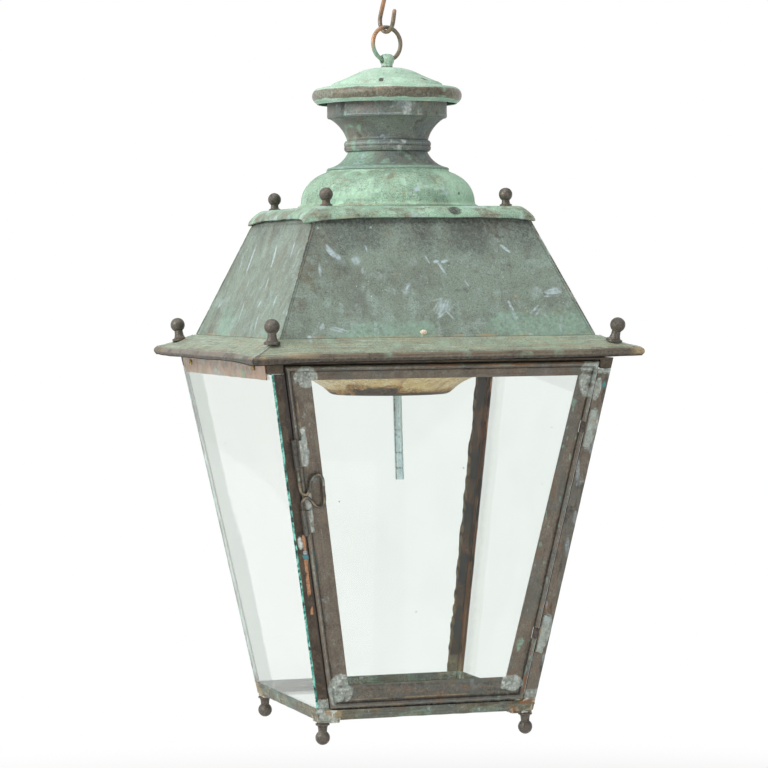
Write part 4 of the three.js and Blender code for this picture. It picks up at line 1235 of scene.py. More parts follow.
LEFT_PATCHES = [
    (20, 98, 28, 3.4, -57, 1.05), (38, 66, 12, 2.6, -68, 1.05), (-70, 97, 26, 4, -81, 1.05),
    (101, 45, 9, 3.4, -88, 1.0), (-130, 40, 10, 6, 42, 0.95), (-108, 88, 20, 4, -74, 0.88),
    (44, 40, 8, 4, -130, 0.9), (90, 104, 18, 4, -68, 0.88), (-44, 66, 10, 4, -70, 0.86),
    (-20, 30, 22, 6, -75, 0.8), (64, 18, 18, 7, -60, 0.8)
]


def roof_masks(side):
    seed = 50 + SIDES.index(side)

    def masks(p):
        along, up = roof_coords(side, p)
        flat = coords(along, up * 0.5, 40 * seed)
        hip = np.abs(along) - (ROOF_FOOT[0] - up * math.sin(ROOF_TILT))
        patches = {"front": FRONT_PATCHES, "left": LEFT_PATCHES}.get(side, LEFT_PATCHES[2:7])
        pale = [0.5 * blots(flat, 9, seed, 0.3, 0.7), 0.97 * brushed(along, up, patches, seed)]
        tan = [0.7 * peak(hip, -1.5, 1.6) * blots(flat, 10, seed + 3, 0, 0.5)]
        slate = 0.8 * ramp(up, 60, 118) * (0.85 + 0.35 * noise(flat, 20, seed + 10))
        # The dark line near the top of the slope is painted shadow under the collar's lip; the rest are a
        # line beside the hip and blotches
        dark = [
            0.7 * peak(hip, -3.2, 1.1), 0.6 * peak(up, 138, 4), 0.5 * blots(flat, 24, seed + 6, 0.2, 0.7),
            0.52 * ramp(up, 84, 130) * blots(flat, 30, seed + 9, -0.6, 0.2)
        ]
        green = 0.6 * blots(p, 34, seed + 2, 0.0, 0.5) * ramp(up, 80, 20)
        brown = [0.5 * blots(p, 42, seed + 7, -0.1, 0.4) * ramp(up, 40, 110)]
        if side == "front":
            pale += [
                spot(along, up, (-123, 131), 1.6), spot(along, up, (-62, 131.7), 1.8),
                1.1 * spot(along, up, (-149, 1.9), 2.6, 2.2)
            ]
            tan += [0.9 * spot(along, up, (96.1, 47.6), 2.4), 0.85 * spot(along, up, (107.1, 29.4), 2.0)]
            brown += [
                0.56 * ramp(up, 96, 128) * blots(flat, 26, 4, -0.5, 0.3),
                0.56 * ramp(hip, -50, -14) * (along < 0) * blots(p, 16, 2, -0.3, 0.4)
            ]
        tan.append(0.8 * peak(up, 1.5, 1.8) * blots(p, 12, 6, -0.2, 0.3))
        return dict(
            pale=most(*pale), tan=most(*tan), dark=most(*dark), green=green, brown=most(*brown),
            slate=slate if side == "front" else 0.0
        )

    return masks


def side_flow(side):
    def flow(p):
        along, up = roof_coords(side, p)
        return coords(along, up * 0.14, 300 * SIDES.index(side))

    return flow


def eave_flow(side):
    def flow(p):
        along, _ = roof_coords(side, p)
        out = -quarter(p, -SIDES.index(side))[:, 1]
        return coords(along * 0.05, out - p[:, 2], 300 * SIDES.index(side))

    return flow


def roof_panels():
    for k, side in enumerate(SIDES):
        cols, rows = {"front": (330, 150), "left": (260, 120)}.get(side, (90, 50))
        s, t = np.meshgrid(np.linspace(-1, 1, cols), np.linspace(0, 1, rows))
        half = ROOF_FOOT[0] + (ROOF_HEAD[0] - ROOF_FOOT[0]) * t
        z = ROOF_FOOT[1] + (ROOF_HEAD[1] - ROOF_FOOT[1]) * t
        outer = coords(s * (half - PULL), -half, z)
        free = ramp(1 - np.abs(s), 0, 0.14) * ramp(t, 0, 0.12) * ramp(1 - t, 0, 0.12)
        dent = 1.1 * rough_noise(outer, 62, 70 + k, 3) * free - 0.25 * free
        dent += 0.12 * noise(outer, 7, 90 + k) * free
        normal = np.array([0, -math.cos(ROOF_TILT), math.sin(ROOF_TILT)])
        points, faces = plate(outer + normal * dent[..., None], SHEET)
        add_mesh(
            f"roof_{side}", (quarter(points, k), faces), grey_patina, f"roof_panel_{side}",
            roof_masks(side), side_flow(side)
        )


def eave_outline():
    line = path(
        (195, 427.6), (206, 427.6), (220.2, 427.6), arc(220.1, 432.4, 4.8, -math.pi / 2, math.pi / 2.7, 18),
        (220.9, 437.1), (219.6, 436.3), (218.2, 436.6), (216.6, 437.9),
        finer([(216.6, 437.9), *EAVE_TOP], 3.5)
    )
    return sheet(line)


# How far the eaves' corners are bent up
EAVE_LIFTS = {"front_left": -2.8, "front_right": 1.8, "back_right": 0.5, "back_left": 1.0}


def uneven(points):
    """Bends the eaves' corners up and down a little."""
    half = np.max(np.abs(points[..., :2]), -1)
    lift = 0.0
    for corner, (x, y) in CORNERS.items():
        apart = np.hypot(points[..., 0] - x * 222, points[..., 1] - y * 222)
        lift = lift + EAVE_LIFTS[corner] * np.exp(-((apart / 55) ** 2))
    out = points.copy()
    out[..., 2] += lift * ramp(half, 190, 218)
    return out


def eaves():
    outline = eave_outline()
    for k, side in enumerate(SIDES):
        grid = mitred(outline, 120)
        s = np.linspace(-1, 1, 120)
        free = ramp(1 - np.abs(s), 0, 0.05)[:, None]
        out = -grid[..., 1]
        nose = ramp(out, 207, 216)
        wave = 0.45 * noise(grid * (1, 0, 0), 38, 80 + k) + 0.2 * noise(grid * (1, 0, 0), 11, 84 + k)
        grid[..., 2] += free * nose * wave
        grid[..., 1] += free * nose * (0.35 + 0.35 * noise(grid * (1, 0, 0), 24, 88 + k))
        slope = ramp(out, 184, 190) * ramp(214 - out, 0, 6) * (grid[..., 2] > 436)
        grid[..., 2] += free * slope * (0.3 * noise(grid, 26, 92 + k))
        points, faces = capped_rings(grid)
        solid = (uneven(quarter(points, k)), faces)

        def masks(p, k=k):
            along, _ = roof_coords(SIDES[k], p)
            local = quarter(p, -k)
            out, z = -local[:, 1], p[:, 2]
            bits = noise(coords(along * 0.4, 0, z), 7, 60 + k)
            return dict(
                # The first two pale lines are painted highlights along the top and the foot of the rolled
                # nose
                pale=most(
                    0.85 * peak(out, 219.6, 1.3) * (z > 434.5) * ramp(bits, -0.6, 0.1),
                    0.7 * peak(z, 428.6, 0.8) * (out > 218) * ramp(bits, -0.2, 0.4),
                    1.0 * spot(along, out, (-149, 188), 2.8) if SIDES[k] == "front" else 0
                ),
                # The first, second and fourth dark terms are painted shade: in the groove above the nose,
                # on the roll's lower half and under the eave behind the nose; the third is random
                dark=most(
                    0.95 * peak(out, 216.9, 0.9) * (z > 434.5),
                    0.72 * ramp(out, 216, 218) * ramp(z, 434.5, 430.5),
                    0.6 * ramp(out, 220.6, 222) * blots(p, 26, 69, -0.4, 0.4),
                    0.9 * (z < 429.5) * ramp(218, 214, out)
                ),
                brown=most(
                    1.1 * ramp(out, 219.8, 221.2), 0.6 * ramp(out, 206, 216) * blots(p, 20, 68, 0, 0.5)
                ),
                tan=most(
                    0.85 * peak(out, 184.8, 2.0) * ramp(bits, -0.3, 0.3),
                    0.6 * blots(p * (0.25, 0.25, 1), 9, 61, 0.2, 0.5) * ramp(out, 195, 212),
                    0.95 * spot(along, out, (222, 222), 9) if SIDES[k] == "front" else 0,
                    0.7 * peak(np.abs(along), 212, 8) * ramp(out, 205, 214)
                ),
                green=0.55 * blots(p, 18, 63, 0.1, 0.5)
            )

        add_mesh(
            f"eaves_{side}", solid, eave_patina, f"eave_{side}", masks,
            eave_flow(side)
        )


# The course of the solder: half-width and height
MITRE = [(186.5, 451.4), (203, 443.4), (215.5, 438.4), (221.5, 436.8), (223.6, 433)]


def seams():
    """Solder along the eaves' mitres and a thin folded line down each hip."""
    for k, (corner, (x, y)) in enumerate(CORNERS.items()):
        line = finer([(half, half, z - 0.1) for half, z in MITRE], 1.4)
        radius = 0.95 + 0.3 * noise(line, 4, 70 + k)
        radius *= 1 - 0.5 * ramp(np.arange(len(line)), len(line) - 6, len(line))
        solid = swept(uneven(line * (x, y, 1)), radius, 12)
        add_mesh(f"eave_solder_{corner}", solid, solder_metal, None)
        line = finer([(182.2, 182.2, 453), (126.2, 126.2, 583.2)], 2.0)
        radius = 0.72 + 0.08 * noise(line, 9, 75 + k)
        solid = swept(line * (x, y, 1), radius, 10)

        def masks(p, k=k):
            bits = noise(p, 8, 66 + k)
            return dict(
                tan=0.7 * ramp(bits, 0.2, 0.5), pale=0.66 * ramp(-bits, 0.2, 0.5),
                dark=0.7 * blots(p, 20, 5, -0.2, 0.3)
            )

        add_mesh(f"hip_seam_{corner}", solid, grey_patina, None, masks)


# Body

# The posts' sections: insets from the side faces and from the front or back face
POST_SECTIONS = {
    "front_left": [
        (3, 0), (14.5, 0), (14.5, 6.8), (22, 6.8), (22, 8.4), (12.7, 8.4), (12.7, 2.4), (3, 2.4)
    ],
    "front_right": [(0, 0), (14.5, 0), (14.5, 2.4), (2.4, 2.4), (2.4, 14.5), (0, 14.5)],
    "back_right": [(0, 0), (14.5, 0), (14.5, 2.4), (2.4, 2.4), (2.4, 14.5), (0, 14.5)],
    "back_left": [(3, 0), (7.5, 0), (7.5, 1.2), (4.2, 1.2), (4.2, 7), (3, 7)]
}
POST_LOOKS = {
    "front_left": dark_patina, "front_right": brown_patina, "back_right": sooty_patina,
    "back_left": chalky_patina
}


def post_masks(corner):
    def masks(p):
        z = p[:, 2]
        inset = half_at(z) - np.abs(p[:, 0])
        flat = p * (1, 1, 0.35)
        grain = noise(coords(inset * 0.8, inset * 0.3 + p[:, 1] * 0.6, z * 0.03), 1.6, 5)
        out = dict(
            dark=most(0.6 * blots(flat, 9, 3, 0.3, 0.6), 0.6 * ramp(grain, 0.1, 0.5)),
            pale=0.58 * blots(flat, 7, 8, 0.35, 0.6), rust=0.6 * blots(flat, 6, 5, 0.5, 0.7),
            solder=most(ramp(z, 404, 412) * (corner == "front_right"), ramp(z, 60, 48)) * 0.85
        )
        if corner == "front_left":
            mended = peak(z, 223, 16)
            # Painted shade on the post's inner edge beside the door and on the stop behind it, reaching
            # wider in the upper part; the grain term is darker towards the top
            out["dark"] = (1 - mended) * most(
                out["dark"], ramp(inset, 12.2, 13.8), 0.7 * ramp(z, 250, 330) * ramp(grain, -0.4, 0.3),
                0.85 * ramp(inset, 8, 12) * ramp(z, 290, 350)
            )
            out["pale"] = most(0.4 * out["pale"], 1.1 * spot(inset, z, (11, 218.5), 3.4, 2.4))
            out["solder"] = most(out["solder"], spot(inset, z, (6.8, 229), 3.6, 9.5))
            out["oxide_and_highlight"] = 0.9 * spot(inset, z, (6.8, 229), 3.0, 8.5) * blots(p, 3, 19, -0.4, 0.1)
            out["bare"] = most(
                0.95 * stroke(inset, z, [(10.6, 210), (9.6, 190), (9.2, 150)], 3.2)
                * blots(flat, 5, 12, -0.7, -0.1),
                1.2 * stroke(inset, z, [(11.4, 236), (11.0, 222)], 2.8)
            )
            out["teal"] = most(
                spot(inset, z, (10.8, 213.8), 4.4, 3.0),
                0.7 * peak(inset, 13.8, 0.8) * (z < 213) * ramp(z, 185, 200)
            )
            out["rust"] = 0.5 * out["rust"]
        if corner == "front_right":
            out["solder"] = most(
                out["solder"], *(spot(inset, z, (8, hinge), 9, 26) for hinge in HINGES.values()),
                0.9 * spot(inset, z, (11, 392), 6, 16)
            )
            out["teal"] = spot(inset, z, (4, 397), 2.6, 4)
            out["slate"] = 0.66 * blots(flat, 20, 13, -0.4, 0.3)
        if corner == "back_left":
            out = dict(
                dark=0.95 * ramp(inset, 4.0, 3.4) * ramp(z, 318, 345), brown=0.8 * ramp(z, 60, 48),
                green=0.6 * blots(flat, 8, 18, 0.2, 0.6)
            )
        if corner == "back_right":
            inner = peak(inset, 17, 3)
            out["rust"] = most(
                out["rust"], 1.0 * blots(flat, 10, 21, -0.5, 0.1) * ramp(inset, 7, 4), 0.55 * inner,
                1.1 * ramp(inset, 15, 9) * peak(z, 338, 26) * blots(flat, 5, 23, -0.6, 0.1),
                0.75 * ramp(inset, 12, 8) * peak(z, 392, 24) * blots(flat, 4, 24, -0.2, 0.3)
            )
            scraped = 0.85 * ramp(inset, 6, 3.5) * ramp(z, 306, 322) * ramp(z, 414, 404)
            out["bare"] = scraped * blots(flat, 6, 25, -0.4, 0.2)
            rusty = most(0.9 * peak(z, 338, 30), 0.7 * peak(z, 392, 20))
            sooty = 0.8 * ramp(inset, 4, 7) * blots(flat, 12, 22, -0.3, 0.3)
            out["dark"] = (1 - rusty) * most(out["dark"], sooty)
            out["tan"] = most(0.7 * inner * blots(flat, 5, 6, 0.0, 0.4), 0.9 * ramp(z, 76, 50))
            out["pale"] = 0.4 * out["pale"]
            out["solder"] = 0.0
        return out

    return masks


def posts():
    for corner, (x, y) in CORNERS.items():
        section = finer(POST_SECTIONS[corner], 1.2, closed=True)
        z = np.linspace(WALL_HEAD_Z + 0.3, WALL_FOOT_Z - 0.3, 150)[:, None]
        grid = coords(x * (half_at(z) - section[:, 0]), y * (half_at(z) - section[:, 1]), z)
        if y < 0:
            ragged = 0.25 * noise(grid * (1, 1, 0.6), 9, 31)
            grid[..., 0] -= x * np.abs(ragged) * (section[:, 0] < 2)
        if corner == "back_right":
            up = grid * (0, 0, 1)
            torn = 4.4 + 1.5 * noise(up, 9, 33) + 0.7 * noise(up, 3, 35)
            grid[..., 0] -= x * (section[:, 0] > 12) * torn
            grid[..., 1] += y * (section[:, 1] > 12) * (3.6 + 1.4 * noise(up, 8, 36))
        add_mesh(
            f"post_{corner}", capped_rings(grid), POST_LOOKS[corner], f"corner_post_{corner}",
            post_masks(corner)
        )


def stop_strip(low, high, left, right):
    """The door's stop: an upright strip behind the front face, given by its insets."""
    rows = []
    for z in np.linspace(low, high, 6):
        near, far = 6.8 - half_at(z), 8.4 - half_at(z)
        x0, x1 = left - half_at(z), half_at(z) - right
        rows.append([(x0, near, z), (x1, near, z), (x1, far, z), (x0, far, z)])
    return capped_rings(np.array(rows))


def bottom_frame():
    ledge = 28.0
    rim = half_at(WALL_HEAD_Z)
    outline = [
        (half_at(ledge), ledge), (rim, WALL_HEAD_Z), (rim - FOLDED, WALL_HEAD_Z),
        (half_at(ledge + 2) - FOLDED, ledge + 2), (106, ledge + 2), (106, ledge)
    ]
    grid = square_ring(finer(outline, 2.2, closed=True), 90)
    x = grid[..., 0]
    head = half_at(DOOR_BOTTOM_Z) - POST_FACE
    low = (grid[..., 1] < -110) * ramp(head - np.abs(x), -0.5, 0.8)
    height = ramp(grid[..., 2], 31, WALL_HEAD_Z)
    grid[..., 2] -= low * height * 2.6
    outer = np.max(np.abs(grid[..., :2]), -1)
    wall = ramp(outer, 120, 124)
    push = wall * 0.5 * noise(grid, 16, 51)
    grid[..., :2] *= (1 - 0.004 * np.abs(push))[..., None]
    grid[..., 2] += wall * 0.35 * noise(grid * (1, 1, 0), 12, 52) * ramp(grid[..., 2], 30, 28.2)
    solids = [
        closed_rings(grid), stop_strip(ledge + 1, WALL_HEAD_Z, 10, 23),
        stop_strip(WALL_HEAD_Z, 49.5, 23, 23)
    ]
    for k, (cx, cy) in enumerate(CORNERS.values()):
        points, faces = rounded_box((12.5, 12.5, 2.3), 1.2, 14)
        points = points + 0.25 * noise(points, 5, 53 + k)[:, None] * (1, 1, 0.6)
        solids.append((points * (0.99, 0.99, 1) + (cx * 113.5, cy * 113.5, 26.8), faces))

    def masks(p):
        corner = ramp(np.abs(p[:, 0]), 92, 104) * ramp(np.abs(p[:, 1]), 92, 104)
        right = (p[:, 0] > 60) & (p[:, 1] < -60)
        z, inner = p[:, 2], half_at(p[:, 2]) - np.max(np.abs(p[:, :2]), 1)
        bits = noise(p * (0.4, 0.4, 1), 6, 19)
        return dict(
            solder=0.7 * corner * blots(p, 9, 4, -0.2, 0.4),
            slate=0.75 * (1 - corner) * blots(p * (0.4, 0.4, 1), 9, 14, -0.6, 0.1),
            oxide_and_highlight=0.72 * corner * blots(p, 4.5, 15, 0.0, 0.4),
            tan=most(
                0.85 * corner * blots(p, 7, 24, -0.3, 0.3), 0.6 * peak(z, 29.5, 1.2) * ramp(bits, 0, 0.4)
            ),
            rust=most(0.9 * corner * right * blots(p, 6, 8, -0.1, 0.3), 0.55 * blots(p, 8, 9, 0.4, 0.6)),
            green=0.55 * blots(p * (1, 1, 2), 16, 10, -0.15, 0.3) * (1 - corner),
            pale=most(0.72 * peak(z, 41.0, 0.9) * ramp(bits, -0.2, 0.3), 0.6 * blots(p, 5, 31, 0.4, 0.6)),
            dark=most(
                0.75 * peak(z, 37.2, 0.8) * ramp(bits, -0.6, 0.1) * (1 - corner),
                0.6 * blots(p * (0.5, 0.5, 1), 7, 12, 0.3, 0.6),
                # Painted shade on the stops and the front ledge behind the door's foot
                ramp(inner, 3.4, 4.4) * (p[:, 1] < -100) * (z > 29)
            )
        )

    def flow(p):
        side = np.where(np.abs(p[:, 0]) > np.abs(p[:, 1]), p[:, 1], p[:, 0])
        return coords(side * 0.06, p[:, 2], 0)

    add_mesh("foot_rim", merged(*solids), foot_patina, "bottom_frame", masks, flow)


# Glazing


def pane_flow(side):
    def flow(p):
        a, v, _ = face_coords(side, p)
        return coords(a, v, 400 * SIDES.index(side))

    return flow


def pane(
    name, node, side, left, right, foot, head, back, masks, body="lantern", chipped=0.0, glass=clear_glass
):
    """A pane in a side: its insets from the left and right, its heights and its distance inwards."""
    rise = np.concatenate([[0, 0.0012], np.linspace(0.014, 0.986, 60), [0.9988, 1]])
    v = up_at(foot) + (up_at(head) - up_at(foot)) * rise
    s = np.concatenate([[0, 0.0012], np.linspace(0.016, 0.984, 52), [0.9988, 1]])
    low, high = -(face_half(v) - left), face_half(v) - right
    a = low[:, None] + (high - low)[:, None] * s
    if chipped:
        nick = noise(coords(0, 0, v), 4, 3) + 0.7 * noise(coords(0, v, 0), 14, 5)
        a -= (chipped * np.clip(nick, 0, 2))[:, None] * ramp(s, 0.9, 1)
    solid = plate(on_face(side, a, v[:, None], back + GLASS), GLASS)
    normal = on_face(side, 0, 0, 1) - on_face(side, 0, 0, 0)

    def at_rim(n):
        return abs(n @ normal) < 0.5

    rim = (rim_glass, at_rim) if glass is clear_glass else None
    add_mesh(name, solid, glass, node, masks, pane_flow(side), body, rim)


# The lower edge of the left pane's greyed film, which draws a painted reflection: the pane is greyed above
# it and left clear below. Points along the pane and up it
REFLECTION_EDGE = [(-140, 306), (-101, 298.6), (-11, 285.7), (75, 273.4), (137, 254.7), (170, 236)]


def panes():
    def left_masks(p):
        a, v, _ = face_coords("left", p)
        edge = face_half(v) + a
        above = v - np.interp(a, *zip(*REFLECTION_EDGE))
        return dict(
            haze=0.8 * ramp(edge, 14, 2) * blots(p, 12, 4, -0.6, 0.2),
            # Painted reflection: greyed above the curve, clear below it
            film_and_reflection=ramp(above, -3, 7) * (0.75 + 0.25 * ramp(v, 260, 400))
        )

    def back_masks(p):
        a, v, _ = face_coords("back", p)
        return dict(haze=0.95 * ramp(face_half(v) - a, 25, 22))

    def right_masks(p):
        a, v, _ = face_coords("right", p)
        post = face_half(v) - a
        return dict(film_and_reflection=0.9 * ramp(post, 66, 62) * ramp(post, 22, 27))

    def door_masks(p):
        return dict(haze=0.6 * ramp(p[:, 2], 70, 64))

    def bottom_masks(p):
        return dict(haze=0.75 * ramp(np.max(np.abs(p[:, :2]), 1), 84, 112))

    pane("pane_left", "left_pane", "left", 0.3, 0.2, 42.3, 414.2, -GLASS, left_masks, chipped=0.5)
    for side, masks in (("right", right_masks), ("back", back_masks)):
        pane(f"pane_{side}", f"{side}_pane", side, 6.6, 6.6, 33.6, 423.4, -5.4, masks, glass=inner_glass)
    inset = DOOR_EDGE + 6.4
    pane(
        "pane_door", "door_pane", "front", inset, inset, 47.8, 416.7, -SHEET - 0.3 - GLASS, door_masks,
        "door"
    )
    t = np.linspace(-118.3, 118.3, 40)
    x, y = np.meshgrid(t, t)
    solid = plate(coords(x, y, 32.9), GLASS)
    add_mesh("pane_bottom", solid, inner_glass, "bottom_pane", bottom_masks, lambda p: p)


STRIP_FOOT, STRIP_HEAD, SCREW_Z = 408.6, 426.4, 421
# The strip's screws: place along the left side and the slot's turn in degrees
SCREWS = {"front": (-134, 35), "back": (146, -20)}


def strip():
    s, t = np.meshgrid(np.linspace(0, 1, 150), np.linspace(0, 1, 12))
    low, high = up_at(STRIP_FOOT), up_at(STRIP_HEAD)
    left = -186 + 3 * (1 - t)
    right = 180 - 3 * (1 - t)
    a = left + (right - left) * s
    v = low + (high - low) * t
    base = coords(a, v, 0)
    v = v + 0.4 * noise(base * (1, 0, 0), 26, 4) * ramp(1 - t, 0.5, 1) - 0.3 * ramp(1 - t, 0.5, 1)
    lift = 0.5 + 0.5 * noise(base * (1, 0.3, 0), 46, 7) + 0.15 * noise(base, 11, 9)
    lift = lift * ramp(1 - t, 0, 0.8) * 0.7
    solid = plate(on_face("left", a, v, 1.4 + lift), 1.1)

    def masks(p):
        a, v, _ = face_coords("left", p)
        return dict(
            bare=most(0.9 * ramp(a, 168, 176), 0.55 * blots(p * (1, 0.3, 1), 12, 5, 0.2, 0.5)),
            green=0.7 * blots(p, 9, 7, 0.3, 0.55),
            dark=most(0.6 * peak(v, up_at(409.2), 1.3), 0.5 * blots(p, 6, 3, 0.5, 0.7)),
            pale=0.6 * blots(p, 14, 11, 0.25, 0.5)
        )

    def flow(p):
        a, v, _ = face_coords("left", p)
        return coords(a * 0.1, v, 0)

    add_mesh("head_strip", solid, strip_copper, "left_pane_strip", masks, flow)
    outline = path(
        (0, -2.2), (1.5, -2.2), (1.5, 1.9), (3.3, 1.9), (3.5, 2.3),
        arc(0, 1.6, 3.5, 0.28, math.pi / 2, 10, 2.3)
    )
    outline[-1, 0] = 0
    for end, (place, turn) in SCREWS.items():
        slot, slot_faces = rounded_box((4, 0.45, 0.7), 0.1, 4)
        slot = turn_about_z(slot + (0, 0, 3.9), math.radians(turn))

        def placed(points, faces, place=place):
            x, y, z = points.T
            return on_face("left", x - place, y + up_at(SCREW_Z), z), faces

        screw = add_mesh(
            f"brass_screw_{end}", placed(*turned(outline, 36)), yellow_brass, f"strip_screw_{end}",
            lambda p: dict(dark=0.6 * blots(p, 3, 5, 0.1, 0.5))
        )
        carve(screw, placed(slot, slot_faces))


# Door

# Where the bead and the flat strip lie in the door's section
BEAD_PLACES, FLAT_PLACES = (3, 15), (17, 27)


def door_section():
    """The door's moulding: share of the rail's width, way inwards and way outwards."""
    centre = -0.4
    rise = math.asin(0.4 / BEAD)
    fall = math.asin((-SHEET - centre) / BEAD)
    skirt = -math.acos((SHEET - BEAD) / BEAD)

    def at(angle):
        return [0, BEAD + BEAD * math.cos(angle), centre + BEAD * math.sin(angle)]

    section = [[0, 0, -DOOR_DEPTH], [0, 0, -4.2]]
    section += [at(math.pi + (rise - math.pi) * k / 14) for k in range(15)]
    width = BEAD + BEAD * math.cos(rise)
    for t in np.linspace(0, 1, 13)[1:]:
        section.append([t, width * (1 - t), 0])
    section[FLAT_PLACES[0]] = [0.02, width * 0.98, -0.75]
    for t in (1, 0.66, 0.33):
        section.append([t, (1 - t) * width, -SHEET])
    section += [at(fall + (skirt - fall) * k / 6) for k in range(7)]
    section += [[0, SHEET, -4.4], [0, SHEET, -DOOR_DEPTH]]
    return np.array(section)


HINGES = {"upper": 350, "lower": 117}
# The door was made by eye: its stiles' widths by side, at the foot and the head
STILES = {(-1, 0): 24.2, (-1, 1): 28.0, (1, 0): 26.0, (1, 1): 21.6}


def door_corner(side, top, section):
    """The section set in the mitre of one of the door's corners."""
    share, inwards, out = section.T
    foot, head = up_at(DOOR_BOTTOM_Z), up_at(DOOR_TOP_Z)
    v = head - share * TOP_RAIL - inwards if top else foot + share * BOTTOM_RAIL + inwards
    x = side * (face_half(v) - DOOR_EDGE - share * STILES[side, top] - inwards)
    return coords(x, v, out)


# Lumps of solder on the door: place along and up it, reach along and up
SOLDERED = [
    (-158, 393, 17, 15), (169, 386, 13, 26), (179, 394, 9, 14), (-103, 38, 18, 23), (98, 37, 17, 12)
]
# Lines of solder and oxide beside the sleeves, and their reach
SMEARED = [
    ([(-158.4, 336), (-156, 317.8), (-153.6, 297)], 6.0),
    ([(-149.5, 262), (-147.6, 247.3), (-144.6, 224)], 6.4)
]
# Brushed patches beside the sleeves
FILMED = [(-157, 324, 10, 3.0, 80, 1.0), (-153.8, 305, 12, 4.2, 84, 1.15), (-146, 235, 15, 2.6, 82, 1.1)]


def solder_at(a, v):
    """How thickly solder lies on the door, from 0 to 1."""
    cells = 0.5 + 0.5 * noise(coords(a, v, 0), 7, 17)
    lumps = most(*(spot(a, v, (x, y), rx, ry) for x, y, rx, ry in SOLDERED))
    smears = most(*(stroke(a, v, line, reach) for line, reach in SMEARED))
    return most(lumps * (0.55 + 0.45 * ramp(cells, 0.2, 0.5)), smears * (0.7 + 0.3 * ramp(cells, 0.3, 0.6)))


